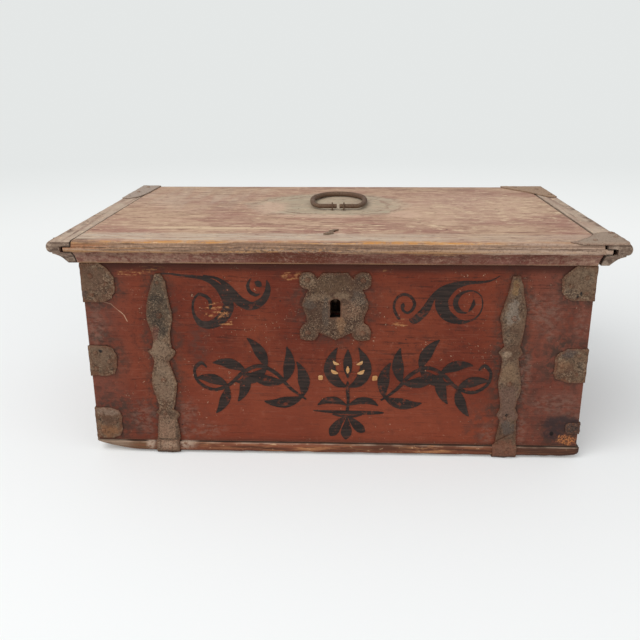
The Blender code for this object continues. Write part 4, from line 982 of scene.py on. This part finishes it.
def slicedCopy(node, steps, bevel):  # the node's mesh, edges softened, cut into an even net
    shape = bmesh.new()
    shape.from_mesh(nodes[node].data)
    bmesh.ops.remove_doubles(shape, verts=shape.verts, dist=aging["merge"])
    bmesh.ops.dissolve_limit(shape, angle_limit=aging["flat"], verts=shape.verts, edges=shape.edges)
    if bevel:
        sharp = [e for e in shape.edges if len(e.link_faces) == 2 and e.calc_face_angle(0.0) > aging["sharp"]]
        bmesh.ops.bevel(shape, geom=sharp, offset=bevel, segments=2, profile=0.5, affect='EDGES', clamp_overlap=True)
    low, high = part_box(node)
    for axis, step in enumerate(steps):
        count = int((high[axis] - low[axis]) / step) if step else 0
        normal = Vector((0, 0, 0))
        normal[axis] = 1.0
        for index in range(1, count):
            at = low.copy()
            at[axis] += (high[axis] - low[axis]) * index / count
            geometry = list(shape.verts) + list(shape.edges) + list(shape.faces)
            bmesh.ops.bisect_plane(shape, geom=geometry, dist=aging["cut"], plane_co=at, plane_no=normal)
    shape.normal_update()
    return shape


def roughen(shape, amount, scale, offset):  # hand-worked unevenness
    moved = Vector([offset * share for share in aging["drift"]])
    for vert in shape.verts:
        vert.co += vert.normal * (noise.fractal(vert.co * scale + moved, 1.0, 2.0, 4) * amount)


def agedCopy(node, material, steps, amount, scale, bevel, reshape=None):
    shape = slicedCopy(node, steps, bevel)
    if reshape:
        reshape(shape)
        shape.normal_update()
    roughen(shape, amount, scale, len(node) * aging["apart"])
    piece = addPiece("aged_" + node, shape, nodes[node]["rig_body"], materials[material])
    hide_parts(node)


def progress(value, start, end):  # how far a value has gone from start to end, within 0 and 1
    return min(max((value - start) / (end - start), 0.0), 1.0)


plateLooks = {"front_right": "lidPlate", "back_right": "brownPlate", "back_left": "palePlate"}
boards = {"front_board": "front", "back_board": "back", "left_end_board": "left", "right_end_board": "right"}
softEdge = {"width": 0.0009, "segments": 2, "limit_method": "ANGLE"}


def firstLook(name):  # the material of a node by the words in its name
    if name in boards:
        return boards[name]
    if name.endswith("batten_peg"):
        return "peg"
    if "escutcheon" in name:
        return "lock"
    if "strap" in name:
        return name.split("_")[0] + "Strap"
    if "corner" in name or "wall_hinge" in name or "hinge_pin" in name:
        return "plate"
    if "plate_nail" in name:
        return plateLooks["_".join(name.split("_")[:2])]
    if "handle" in name:
        return "bail"
    return "catch" if name == "lock_catch" else "inner"


for name in nodes:
    nodes[name].data.materials.clear()
    nodes[name].data.materials.append(materials[firstLook(name)])
for name in boards:
    soft = nodes[name].modifiers.new("softened edges", "BEVEL")
    for key, value in softEdge.items():
        setattr(soft, key, value)

wornBoard = {
    "rightStart": 0.234, "rightRise": 0.003,
    "cornerStart": -0.190, "cornerEnd": -0.258, "cornerRise": 0.0082, "cornerPull": 0.006, "cornerAside": 0.6,
    "cornerPower": 2.4,
    "frontStart": -0.120, "frontDepth": 0.035,
    "chipStart": -0.155, "chipUnder": 0.6, "chipRise": 0.0011, "chipScale": (90, 40),
}


def wearBottom(shape):  # the front corners are worn away from below, most at the left
    low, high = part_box("bottom_board")
    scaleX, scaleY = wornBoard["chipScale"]
    for vert in shape.verts:
        along = progress(vert.co.x, wornBoard["cornerStart"], wornBoard["cornerEnd"]) ** wornBoard["cornerPower"]
        front = min(max((wornBoard["frontStart"] - vert.co.y) / wornBoard["frontDepth"], 0.0), 1.0)
        under = (high.z - vert.co.z) / (high.z - low.z)
        worn = along * front
        vert.co.z += wornBoard["cornerRise"] * worn * under
        vert.co.y += wornBoard["cornerPull"] * worn * under
        vert.co.x += wornBoard["cornerPull"] * worn * under * wornBoard["cornerAside"]
        beyond = progress(vert.co.x, wornBoard["rightStart"], high.x)
        vert.co.z += wornBoard["rightRise"] * beyond ** 2 * front * under
        chip = noise.noise(Vector((vert.co.x * scaleX, vert.co.y * scaleY, 3.0)))
        if vert.co.y < wornBoard["chipStart"] and under > wornBoard["chipUnder"]:
            vert.co.z += max(chip, 0.0) * wornBoard["chipRise"]


wornLid = {
    "start": -0.150, "arris": 0.003, "sink": 0.8,
    "large": 0.0007, "largeScale": (55, 90), "small": 0.00025, "smallScale": (210, 200), "out": -0.1,
}


def wearLid(shape):  # dents along the arris and the foot of the moulding
    (largeX, largeZ), (smallX, smallZ) = wornLid["largeScale"], wornLid["smallScale"]
    for vert in shape.verts:
        if vert.co.y < wornLid["start"]:
            large = noise.noise(Vector((vert.co.x * largeX, 1.7, vert.co.z * largeZ)))
            small = noise.noise(Vector((vert.co.x * smallX, 4.1, vert.co.z * smallZ)))
            push = max(large, wornLid["out"]) * wornLid["large"] + small * wornLid["small"]
            vert.co.y += push
            if vert.co.z > faces["lidTop"] - wornLid["arris"]:
                vert.co.z -= max(push, 0.0) * wornLid["sink"]


strapCrack = {
    "from": (0.1675, 0.0168), "to": (0.1850, 0.0280), "half": 0.0009, "deep": 0.0013, "low": 0.010, "high": 0.036,
    "hole": (0.1782, 0.0487), "holeHalf": 0.0021, "surface": 0.0012,
}


def crackStrap(shape):  # the right strap is cracked above its foot and has lost a nail
    start, end = Vector(strapCrack["from"]), Vector(strapCrack["to"])
    along = (end - start).normalized()
    aside = Vector((-along.y, along.x))
    for side in (-1, 0, 1):
        middles = [(face, face.calc_center_median()) for face in shape.faces]
        near = [face for face, at in middles if at.y < faces["front"] and strapCrack["low"] < at.z < strapCrack["high"]]
        geometry = [*near, *(e for face in near for e in face.edges), *(v for face in near for v in face.verts)]
        at = start + aside * side * strapCrack["half"]
        cut = {"plane_co": (at.x, faces["front"], at.y), "plane_no": (aside.x, 0, aside.y)}
        bmesh.ops.bisect_plane(shape, geom=list(dict.fromkeys(geometry)), dist=aging["merge"], **cut)
    for vert in shape.verts:
        flat = Vector((vert.co.x, vert.co.z))
        off = flat - start
        inCrack = abs(off.dot(aside)) < 1e-5 and 0 < off.dot(along) < (end - start).length
        inHole = (flat - Vector(strapCrack["hole"])).length < strapCrack["holeHalf"]
        for hit in (inCrack, inHole):
            if hit and vert.co.y < faces["front"] - strapCrack["surface"]:
                vert.co.y += strapCrack["deep"]


keyhole = {"middle": (0.0, 0.161), "half": (0.0066, 0.0125), "wider": 0.0008}


def wearKeyhole(shape):  # the key has worn the hole wider
    for vert in shape.verts:
        off = vert.co.x - keyhole["middle"][0]
        if abs(off) < keyhole["half"][0] and abs(vert.co.z - keyhole["middle"][1]) < keyhole["half"][1]:
            vert.co.x += math.copysign(keyhole["wider"], off)


raggedRim = {"large": 0.0013, "largeScale": 105, "small": 0.0005, "smallScale": 380, "fixed": 0.010}


def wander(at, largeOff, smallOff):
    large = noise.noise(at * raggedRim["largeScale"] + Vector(largeOff)) * raggedRim["large"]
    return large + noise.noise(at * raggedRim["smallScale"] + Vector(smallOff)) * raggedRim["small"]


def raggedIron(shape):  # hand-cut outline: the rim wanders in its own plane, more away from the corner
    sideX = max(abs(vert.co.x) for vert in shape.verts)
    endY = max(abs(vert.co.y) for vert in shape.verts)
    for vert in shape.verts:
        at = vert.co.copy()
        onFront = endY - abs(at.y) < sideX - abs(at.x)
        inward = min((sideX - abs(at.x) if onFront else endY - abs(at.y)) / raggedRim["fixed"], 1.0)
        nearRim = min(max((faces["rim"] - at.z) / raggedRim["fixed"], 0.0), 1.0)
        nearFoot = min(max((at.z - faces["wallLow"]) / raggedRim["fixed"], 0.0), 1.0)
        flat = Vector((at.x, at.z, 1.0)) if onFront else Vector((at.y, at.z, 9.0))
        vert.co.z += wander(flat, (7, 3, 5), (2, 8, 4)) * nearRim * nearFoot
        vert.co[0 if onFront else 1] += wander(flat, (0, 0, 0), (0, 0, 0)) * inward


corners = [  # every corner iron's node with its outward directions and its level
    ("_".join((end, side, level, "corner_iron")), outX, outY, level)
    for end, outY in (("front", -1), ("back", 1)) for side, outX in (("left", -1), ("right", 1))
    for level in ("upper", "middle", "lower")]

# material, slot, net in x, y and z, unevenness and its scale, softened edge, change of shape
agedCopy("bottom_board", "bottom", (0.006, 0.02, 0.004), 0.0003, 70, 0.0, wearBottom)
agedCopy("lid_board", "lid", (0.006, 0.03, 0), 0.00012, 60, 0.0007, wearLid)
for side, reshape in (("left", None), ("right", crackStrap)):
    agedCopy(side + "_batten", "batten", (0.008, 0.006, 0), 0.00028, 75, 0.0009)
    strap = side + "_front_strap"
    agedCopy(strap, side + "Strap", (0.0035, 0.03, 0.003), 0.00042, 190, 0.0004, reshape)
for node, *_ in corners:
    agedCopy(node, "plate", (0.0032, 0.0032, 0.0032), 0.00045, 170, 0.0003, raggedIron)
agedCopy("escutcheon", "lock", (0.0028, 0, 0.0028), 0.00060, 240, 0.0003, wearKeyhole)
for corner, look in plateLooks.items():
    agedCopy(corner + "_lid_plate", look, (0.004, 0.004, 0), 0.00038, 150, 0.0003)
print("aged copies made")


# bail handle as a forged rod

bail = {
    "gap": 0.0016, "straight": 0.020, "half": 0.0319, "reach": 0.097, "rod": 0.00255, "grip": 0.0031,
    "pivotY": -0.002, "pivotRise": 0.0045,
    "drop": 0.0011,  # how far the pivot stands above the grip
    "sides": 18, "steps": 22, "uneven": 0.07,
}
rodNoise = {"along": 140, "round": 0.8}
pivotZ = faces["lidTop"] + bail["pivotRise"]


def bailLine():
    straight, half, reach, waist = bail["straight"], bail["half"], bail["reach"], bail["reach"] / 2
    line = [(bail["gap"], 0.0), (straight * 0.35, 0.0), (straight * 0.7, 0.0)]
    turns = [math.pi / 2 * step / bail["steps"] for step in range(bail["steps"] + 1)]
    line += [(straight + (half - straight) * math.sin(turn), waist * (1 - math.cos(turn))) for turn in turns]
    line += [(half * math.cos(turn), waist + (reach - waist) * math.sin(turn)) for turn in turns[1:]]
    line += [(-x, out) for x, out in line[-2::-1]]
    points = []
    for x, out in line:
        radius = bail["rod"] + (bail["grip"] - bail["rod"]) * min(out / waist, 1.0)
        points.append((Vector((x, bail["pivotY"] + out, pivotZ - bail["drop"] * (out / reach))), radius))
    return points


def closeRings(shape, rings):  # faces between rings of equal length, and a lid on each end
    for ring, following in zip(rings, rings[1:]):
        for turn in range(len(ring)):
            after = (turn + 1) % len(ring)
            shape.faces.new((ring[turn], ring[after], following[after], following[turn]))
    shape.faces.new(rings[0][::-1])
    shape.faces.new(rings[-1])


def sweep(shape, points, sides, roughness, square):  # closed round rod along a line
    rings = []
    for index, (at, radius) in enumerate(points):
        before, after = points[max(index - 1, 0)][0], points[min(index + 1, len(points) - 1)][0]
        ahead = (after - before).normalized()
        side = ahead.cross(Vector(square)).normalized()
        up = side.cross(ahead)
        ring = []
        for turn in range(sides):
            angle = 2 * math.pi * turn / sides
            out = side * math.cos(angle) + up * math.sin(angle)
            uneven = 1 + roughness * noise.noise(at * rodNoise["along"] + out * rodNoise["round"])
            ring.append(shape.verts.new(at + out * radius * uneven))
        rings.append(ring)
    closeRings(shape, rings)


shape = bmesh.new()
sweep(shape, bailLine(), bail["sides"], bail["uneven"], (0, 0, 1))
handle = addPiece("forged_bail", shape, "handle", materials["bail"], 60.0)
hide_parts("bail_handle")

staple = {
    "spread": 0.0068, "bend": 0.0038, "wire": 0.0008, "clinch": 0.010, "pressed": 0.8,
    "foot": ((0.0015, 0.0), (0.0003, 0.001), (0.0, 0.004)),  # the turn of a leg under the lid: out and up
    "steps": 14, "sides": 10, "uneven": 0.05,
}


def stapleLine(x):
    bend, under = staple["bend"], faces["lidLow"] - staple["wire"] * staple["pressed"]
    leg = [(bend + out, under + up) for out, up in ((staple["clinch"], 0.0), *staple["foot"])]
    leg.append((bend, faces["lidTop"]))
    turns = [math.pi * step / staple["steps"] for step in range(staple["steps"] + 1)]
    path = leg + [(bend * math.cos(turn), pivotZ + bend * math.sin(turn)) for turn in turns]
    path += [(-y, z) for y, z in leg[::-1]]
    return [(Vector((x, bail["pivotY"] + y, z)), staple["wire"]) for y, z in path]


for side, sign in (("left", -1), ("right", 1)):
    shape = bmesh.new()
    sweep(shape, stapleLine(sign * staple["spread"]), staple["sides"], staple["uneven"], (1, 0, 0))
    piece = addPiece(side + "_wire_staple", shape, "lid", materials["bail"], 60.0)
    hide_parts(side + "_handle_staple")
print("bail handle and staples forged")


# nail heads that the CAD leaves to the looks

nailLook = {
    "sides": 9, "height": 0.0013, "uneven": 0.18,
    "rings": ((1.0, -0.35), (1.0, 0.15), (0.72, 0.75), (0.30, 1.0)),  # shares of the radius and of the height
}
dice = random.Random(7)


def addNail(shape, at, outward, radius):
    outward = Vector(outward).normalized()
    side = outward.orthogonal().normalized()
    other = outward.cross(side)
    rings = []
    for reach, rise in nailLook["rings"]:
        ring = []
        for turn in range(nailLook["sides"]):
            angle = 2 * math.pi * turn / nailLook["sides"]
            wide = radius * reach * (1 + dice.uniform(-1, 1) * nailLook["uneven"])
            out = side * math.cos(angle) + other * math.sin(angle)
            ring.append(shape.verts.new(Vector(at) + out * wide + outward * nailLook["height"] * rise))
        rings.append(ring)
    closeRings(shape, rings)


def nailHeads(name, body, material, places):
    shape = bmesh.new()
    for at, outward, radius in places:
        addNail(shape, at, outward, radius)
    addPiece(name, shape, body, materials[material], 50.0)


cornerNails = {
    "places": ((0.26, 0.0), (0.72, 0.27), (0.74, -0.28)),  # shares from the tip to the corner and up from the middle
    "loose": 0.03, "radius": 0.0026,
    "tab": 0.0044,  # height of the upper irons' tab under the rim
}
for node, outX, outY, level in corners:
    low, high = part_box(node)
    tall = high.z - low.z - (cornerNails["tab"] if level == "upper" else 0.0)
    middle = low.z + tall / 2
    faceX, tipX = (low.x, high.x) if outX < 0 else (high.x, low.x)
    faceY, tipY = (low.y, high.y) if outY < 0 else (high.y, low.y)
    places = []
    for along, rise in cornerNails["places"]:
        loose = cornerNails["loose"]
        x = tipX + (faceX - tipX) * (along + dice.uniform(-loose, loose))
        y = tipY + (faceY - tipY) * (along + dice.uniform(-loose, loose))
        z = middle + tall * (rise + dice.uniform(-loose, loose))
        places.append(((x, faceY, z), (0, outY, 0), cornerNails["radius"]))
        places.append(((faceX, y, z), (outX, 0, 0), cornerNails["radius"]))
    nailHeads(node.replace("corner_iron", "corner_nails"), "casket", "plate", places)

strapNails = {  # how far the strap stands off the board; aside of its middle line, z and radius of each head
    "surface": 0.0021,
    "upper": (0.0005, 0.189, 0.0022), "middle": (-0.001, 0.0455, 0.0024), "foot": (0.003, 0.0075, 0.0024),
}
for side in ("left", "right"):
    low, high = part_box(side + "_front_strap")
    centre = (low.x + high.x) / 2
    places = []
    for key in ("upper", "middle", "foot"):
        off, z, radius = strapNails[key]
        y = low.y if key == "foot" else faces["front"] - strapNails["surface"]
        places.append(((centre + off, y, z), (0, -1, 0), radius))
    nailHeads(side + "_strap_small_nails", "casket", side + "Strap", places)

lidNails = {  # height over the lid's top, then x, y and radius
    "plateRise": 0.0015,
    "plate": [(0.247, -0.166, 0.0024), (0.2715, -0.150, 0.0026), (0.265, 0.150, 0.0026), (0.240, 0.166, 0.0024),
              (-0.266, 0.160, 0.0026), (-0.268, 0.118, 0.0026)],
    "stubRise": -0.0009,
    "stub": [(-0.2768, -0.161, 0.0014), (-0.2752, -0.120, 0.0014), (-0.2705, -0.080, 0.0014)],
}
for key, name, look in (("plate", "lid_plate_small_nails", "lidPlate"), ("stub", "lost_plate_nail_stubs", "inner")):
    z = faces["lidTop"] + lidNails[key + "Rise"]
    nailHeads(name, "lid", look, [((x, y, z), (0, 0, 1), radius) for x, y, radius in lidNails[key]])
print("nail heads set")


# painted ornament on the front: (x, z, half width) in millimetres

ornament = {
    "lift": 0.00012,    # metres that the first stroke stands off the board
    "layer": 0.000012,  # and each later one a little more
    "step": 1.1,        # millimetres between points along a stroke
    "ragged": 0.32,     # millimetres of unevenness at its edges
    "across": 4,        # faces across a stroke
    "back": 0.00002,    # metres that its back stands off the board
    "least": 0.25,      # least half width in millimetres
    "along": 0.55, "between": 3.1, "over": 4,  # scales of its unevenness: along, from stroke to stroke, across
}
scrolls = {
    "leftSweep": [(-176.7, 197.8, 0.4), (-164.9, 197.9, 0.9), (-153.3, 196.1, 1.3), (-140.1, 195.0, 1.6),
                  (-128.5, 192.5, 2.4), (-118.5, 186.1, 3.5), (-111.5, 177.4, 4.9), (-107.5, 166.7, 5.3),
                  (-110.2, 157.3, 5.7), (-117.2, 149.5, 5.4), (-126.5, 144.6, 4.5), (-135.4, 145.3, 3.6),
                  (-141.4, 151.6, 2.1), (-143.9, 160.1, 1.2), (-143.1, 168.7, 1.2), (-139.8, 174.9, 1.3),
                  (-135.9, 177.1, 1.8)],
    "leftHook": [(-136.2, 177.2, 1.6), (-130.1, 174.7, 1.8), (-126.4, 170.4, 1.8), (-125.7, 165.0, 1.8),
                 (-126.2, 160.8, 0.9)],
    "leftBranch": [(-131.9, 196.3, 0.7), (-118.1, 193.3, 1.5), (-109.6, 186.6, 2.9), (-104.0, 179.8, 4.1),
                   (-98.4, 172.1, 4.9), (-91.2, 166.8, 5.0), (-83.9, 164.9, 4.4), (-76.4, 167.7, 4.0),
                   (-70.3, 173.9, 3.5), (-67.5, 181.6, 2.9), (-67.3, 187.7, 1.9), (-68.4, 191.9, 0.6)],
    "leftCurl": [(-84.1, 193.6, 0.7), (-87.2, 187.5, 1.5), (-86.0, 180.7, 1.8), (-80.3, 176.6, 1.8),
                 (-75.8, 177.5, 0.7)],
    "leftDab": [(-80.4, 189.8, 0.7), (-77.0, 188.4, 3.2), (-74.4, 185.3, 1.6)],
    "rightSweep": [(161.5, 198.1, 0.4), (154.0, 193.6, 0.8), (145.0, 191.6, 1.3), (135.9, 191.1, 1.7),
                   (126.8, 190.1, 2.6), (117.8, 187.3, 4.2), (110.8, 182.0, 5.7), (106.0, 173.7, 6.3),
                   (106.4, 165.3, 6.4), (110.7, 157.6, 5.6), (118.3, 152.5, 4.3), (126.4, 150.0, 2.4),
                   (133.0, 150.8, 1.1), (139.5, 153.7, 0.8), (144.4, 160.0, 0.7), (146.3, 168.4, 0.6),
                   (144.4, 176.7, 0.6), (139.1, 181.3, 0.7), (132.5, 182.4, 0.8), (125.4, 180.2, 1.6),
                   (120.4, 174.5, 2.4), (119.5, 168.2, 2.6), (122.8, 162.2, 2.3), (128.5, 159.6, 1.1),
                   (131.4, 159.9, 0.4)],
    "rightDab": [(137.2, 173.9, 0.5), (137.2, 169.1, 1.8), (135.5, 164.9, 1.6), (132.7, 160.6, 0.4)],
    "rightBranch": [(122.3, 191.0, 0.5), (111.9, 188.6, 1.2), (103.0, 183.0, 2.0), (96.1, 174.3, 2.9),
                    (91.3, 164.5, 4.0), (85.6, 156.7, 4.4), (79.1, 151.2, 3.7), (74.0, 152.0, 1.1)],
    "rightCurl": [(64.6, 152.2, 1.2), (60.8, 157.9, 1.5), (58.6, 164.6, 1.3), (59.8, 171.9, 1.3),
                  (64.3, 177.2, 1.5), (70.2, 178.1, 1.5), (75.9, 174.8, 1.5), (78.9, 168.5, 1.6),
                  (76.8, 162.2, 1.5), (71.9, 159.1, 1.2), (67.5, 162.1, 1.3), (67.4, 167.0, 1.9),
                  (68.1, 169.2, 0.5)],
    "bar": [(-22.7, 50.4, 0.4), (-8.3, 49.4, 1.5), (12.8, 48.6, 2.2), (33.9, 48.5, 2.2), (46.5, 48.7, 1.5),
            (51.4, 48.7, 0.4)],
    "barShade": [(-2.7, 46.4, 0.7), (7.2, 44.4, 1.4), (19.9, 44.1, 1.3), (28.3, 46.2, 0.6)],
    "leafLeft": [(11.7, 44.0, 0.7), (5.1, 37.6, 3.4), (0.5, 30.5, 5.4), (-2.4, 24.9, 4.8), (-5.2, 21.2, 0.9)],
    "leafMiddle": [(12.4, 42.9, 0.7), (12.5, 35.4, 3.1), (12.1, 27.5, 5.7), (11.7, 21.2, 4.5), (11.6, 17.1, 0.7)],
    "leafRight": [(14.0, 44.0, 0.7), (19.9, 37.4, 3.9), (25.4, 31.2, 5.1), (29.2, 28.1, 3.7), (31.9, 26.9, 0.7)],
}
garland = {  # left half of a leafy branch; the right half mirrors it
    "stem": [(-30, 63, 0.9), (-46, 75, 1.7), (-61, 92, 2.0), (-78, 100, 2.0), (-95, 93, 2.0), (-110, 79, 1.9),
             (-127, 73, 1.8), (-142, 81, 1.6), (-146, 94, 1.5), (-139, 103, 1.9), (-133, 98, 0.7)],
    "stations": (0.04, 0.18, 0.32, 0.46, 0.61),  # shares of the stem where leaves start
    "leaf": 35.0, "half": 6.2, "lean": 57.0, "leanStep": 6, "shorter": 0.28, "thinner": 0.2,
    "outline": ((0.0, 0.0, 0.14), (0.28, -0.02, 0.72), (0.55, 0.03, 1.0), (0.80, 0.16, 0.62), (0.94, 0.34, 0.10)),
    "middle": 9.5, "narrower": 0.965,  # the mirror line, and the right half's share of the left one's width
}
flower = {
    "Stalk": [(13, 51, 1.6), (13.6, 62, 1.5), (13, 76, 1.8), (13, 84, 0.8)],
    "PetalLeft": [(12, 78, 0.8), (2, 83, 5.0), (-5, 95, 6.2), (-4, 108, 4.6), (2, 121, 0.5)],
    "PetalRight": [(14, 78, 0.8), (24, 83, 5.0), (31, 95, 6.2), (30, 108, 4.6), (24, 121, 0.5)],
    "PetalMiddle": [(13, 88, 0.6), (13, 98, 4.2), (13, 109, 4.0), (13, 119, 0.5)],
    "FootLeft": [(12, 57, 0.6), (2, 62, 3.6), (-9, 62, 3.4), (-18, 57, 0.5)],
    "FootRight": [(14, 57, 0.6), (25, 62, 3.6), (36, 62, 3.4), (45, 57, 0.5)],
}
dabs = {  # ochre touches on the flower
    "DabA": [(-4, 97, 0.5), (-1, 94, 2.0), (3, 93, 0.5)],
    "DabB": [(-2, 107, 0.4), (0, 104, 1.6), (4, 103, 0.4)],
    "DabC": [(30, 97, 0.5), (27, 94, 2.0), (23, 93, 0.5)],
    "DabD": [(28, 107, 0.4), (26, 104, 1.6), (22, 103, 0.4)],
    "DabE": [(13, 93, 0.5), (13, 97, 1.7), (13, 101, 0.5)],
    "DotLeft": [(-17, 86, 0.6), (-15, 88, 2.9), (-13, 90, 0.6)],
    "DotRight": [(39, 90, 0.6), (41, 88, 3.4), (43, 86, 0.6)],
}


def strokeLine(points):  # even points along a smooth curve through the given ones
    ends = [points[0]] + list(points) + [points[-1]]
    line = []
    for index in range(len(points) - 1):
        a, b, c, d = (Vector(p) for p in ends[index:index + 4])
        count = max(int((c - b).length / ornament["step"]), 1)
        for step in range(count):
            t = step / count
            curve = 2 * b + (c - a) * t + (2 * a - 5 * b + 4 * c - d) * t * t + (3 * b - a - 3 * c + d) * t ** 3
            line.append(0.5 * curve)
    line.append(Vector(points[-1]))
    return line


def brushStroke(name, points, material, layer):
    line = strokeLine(points)
    shape = bmesh.new()
    outer = faces["front"] - ornament["lift"] - layer * ornament["layer"]
    inner = faces["front"] - ornament["back"]
    last = ornament["across"]
    rows, backs = [], []
    for index, point in enumerate(line):
        before, after = line[max(index - 1, 0)], line[min(index + 1, len(line) - 1)]
        ahead = Vector((after.x - before.x, after.y - before.y)).normalized()
        aside = Vector((-ahead.y, ahead.x))
        wide = max(point.z, ornament["least"])
        row, back = [], []
        for step in range(last + 1):
            side = step / last * 2 - 1
            at = Vector((*(point.xy * ornament["along"]), layer * ornament["between"] + side * ornament["over"]))
            reach = side * (wide + noise.noise(at) * ornament["ragged"] * min(wide, 1.0))
            x, z = point.x + aside.x * reach, point.y + aside.y * reach
            row.append(shape.verts.new((x / 1000, outer, z / 1000)))
            if step in (0, last):
                back.append(shape.verts.new((x / 1000, inner, z / 1000)))
        rows.append(row)
        backs.append(back)
    for (row, back), (nextRow, nextBack) in zip(zip(rows, backs), zip(rows[1:], backs[1:])):
        for step in range(last):
            shape.faces.new((row[step], nextRow[step], nextRow[step + 1], row[step + 1]))
        shape.faces.new((back[0], back[1], nextBack[1], nextBack[0]))
        shape.faces.new((row[0], back[0], nextBack[0], nextRow[0]))
        shape.faces.new((row[last], nextRow[last], nextBack[1], back[1]))
    shape.faces.new(rows[0] + [backs[0][1], backs[0][0]])
    shape.faces.new((rows[-1] + [backs[-1][1], backs[-1][0]])[::-1])
    addPiece(name, shape, "casket", material, 30.0)


def garlandStrokes():  # the stem and a pair of leaves at each station
    line = strokeLine(garland["stem"])
    found = [("stem", garland["stem"])]
    for index, along in enumerate(garland["stations"]):
        at = int(along * len(line))
        root = Vector((line[at].x, line[at].y))
        ahead = (Vector((line[at + 2].x, line[at + 2].y)) - root).normalized()
        size = garland["leaf"] * (1 - garland["shorter"] * along)
        wide = garland["half"] * (1 - garland["thinner"] * along)
        for side, word in ((-1, "up"), (1, "down")):
            lean = math.radians(garland["lean"] + garland["leanStep"] * ((index * 5 + side) % 3 - 1)) * side
            cos, sin = math.cos(lean), math.sin(lean)
            out = Vector((ahead.x * cos - ahead.y * sin, ahead.x * sin + ahead.y * cos))
            leaf = []
            for reach, bend, half in garland["outline"]:
                point = root + (out * reach + ahead * bend) * size
                leaf.append((point.x, point.y, half * wide))
            found.append(("leaf_%d_%s" % (index + 1, word), leaf))
    return found


def mirrored(points):
    middle = garland["middle"]
    return [(middle + (middle - x) * garland["narrower"], z, half) for x, z, half in points]


strokes = [("scroll_" + name, points, "black") for name, points in scrolls.items()]
for name, points in garlandStrokes():
    strokes += [("garland_left_" + name, points, "black"), ("garland_right_" + name, mirrored(points), "black")]
strokes += [("flower_" + name, points, "black") for name, points in flower.items()]
strokes += [("flower_" + name, points, "ochre") for name, points in dabs.items()]
for layer, (name, points, paint) in enumerate(strokes):
    brushStroke(name, points, materials[paint], layer)
print("brush strokes:", len(strokes))


# camera, floor and light

camera = {
    "focal": 749.17, "frame": 640, "sensor": 36.0,
    "pitch": 18.596, "yaw": -2.294, "roll": 0.215, "at": (0.01328, -0.87434, 0.39159),
}


def setCamera():
    pitch, yaw, roll = (math.radians(camera[key]) for key in ("pitch", "yaw", "roll"))
    ahead = Vector((math.sin(yaw) * math.cos(pitch), math.cos(yaw) * math.cos(pitch), -math.sin(pitch)))
    right = Vector((math.cos(yaw), -math.sin(yaw), 0))
    down = ahead.cross(right)
    turnedRight = right * math.cos(roll) + down * math.sin(roll)
    turnedDown = down * math.cos(roll) - right * math.sin(roll)
    lens = bpy.data.cameras.new("camera")
    lens.sensor_width = camera["sensor"]
    lens.lens = camera["focal"] * camera["sensor"] / camera["frame"]
    eye = bpy.data.objects.new("camera", lens)
    bpy.context.scene.collection.objects.link(eye)
    turn = Matrix((turnedRight, -turnedDown, -ahead)).transposed().to_4x4()
    eye.matrix_world = Matrix.Translation(camera["at"]) @ turn
    bpy.context.scene.camera = eye


floor = {
    "half": 12.0, "rough": 0.9,
    "near": (0.930, 0.942, 0.938), "pale": (0.905, 0.920, 0.914), "far": (0.779, 0.801, 0.795), "black": (0, 0, 0),
    "away": (0.32, 1.25, 0.22, 1.0), "darker": (0.60, 2.8),  # where it fades, in metres from the middle
}


def setFloor():  # a plain floor that fades into the pale background
    mesh = bpy.data.meshes.new("floor")
    half = floor["half"]
    mesh.from_pydata([(-half, -half, 0), (half, -half, 0), (half, half, 0), (-half, half, 0)], [], [(0, 1, 2, 3)])
    piece = bpy.data.objects.new("floor", mesh)
    bpy.context.scene.collection.objects.link(piece)
    place, _ = newMaterial("pale floor", 0.0)
    rays = put("LightPath").outputs
    seen = most(rays["Is Camera Ray"], rays["Is Glossy Ray"], rays["Is Transmission Ray"])
    reach = reachOf(place)
    away = times(fade(reach, *floor["away"]), seen)
    back = coat(floor, "pale", (fade(reach, *floor["darker"]), "far"))
    inputs = shaderInputs()
    link(coat(floor, "black", (away, back)), inputs["Emission Color"])
    link(1.0, inputs["Emission Strength"])
    mesh.materials.append(finishMaterial(coat(floor, "near", (away, "black")), floor["rough"]))


light = {
    "world": 0.56,
    "sky": (0.97, 0.985, 1.0, 1.0),
    "aim": (0, 0, 0.12),
    "lamps": [("key", (-1.3, -1.5, 2.2), 2.2, 53.0), ("fill", (1.8, -1.6, 1.3), 2.2, 8.0)],
}


def setLight():
    world = bpy.data.worlds.new("soft room")
    world.use_nodes = True
    bpy.context.scene.world = world
    bench["tree"] = tree = world.node_tree
    sky = tree.nodes["Background"]
    link(light["sky"], sky.inputs["Color"])
    link(light["world"], sky.inputs["Strength"])
    behind = put("Background", {"Color": (*floor["far"], 1.0), "Strength": 1.0})
    seen = put("LightPath").outputs["Is Camera Ray"]
    both = put("MixShader", {0: seen, 1: sky.outputs[0], 2: behind.outputs[0]})
    link(both.outputs[0], tree.nodes["World Output"].inputs["Surface"])
    for name, at, wide, watts in light["lamps"]:
        lamp = bpy.data.lights.new(name, "AREA")
        lamp.size = wide
        lamp.energy = watts
        thing = bpy.data.objects.new(name, lamp)
        thing.location = at
        thing.rotation_euler = (Vector(light["aim"]) - Vector(at)).to_track_quat("-Z", "Y").to_euler()
        bpy.context.scene.collection.objects.link(thing)


setCamera()
setFloor()
setLight()
bpy.context.scene.view_settings.view_transform = "Standard"
print("camera, floor and light set")
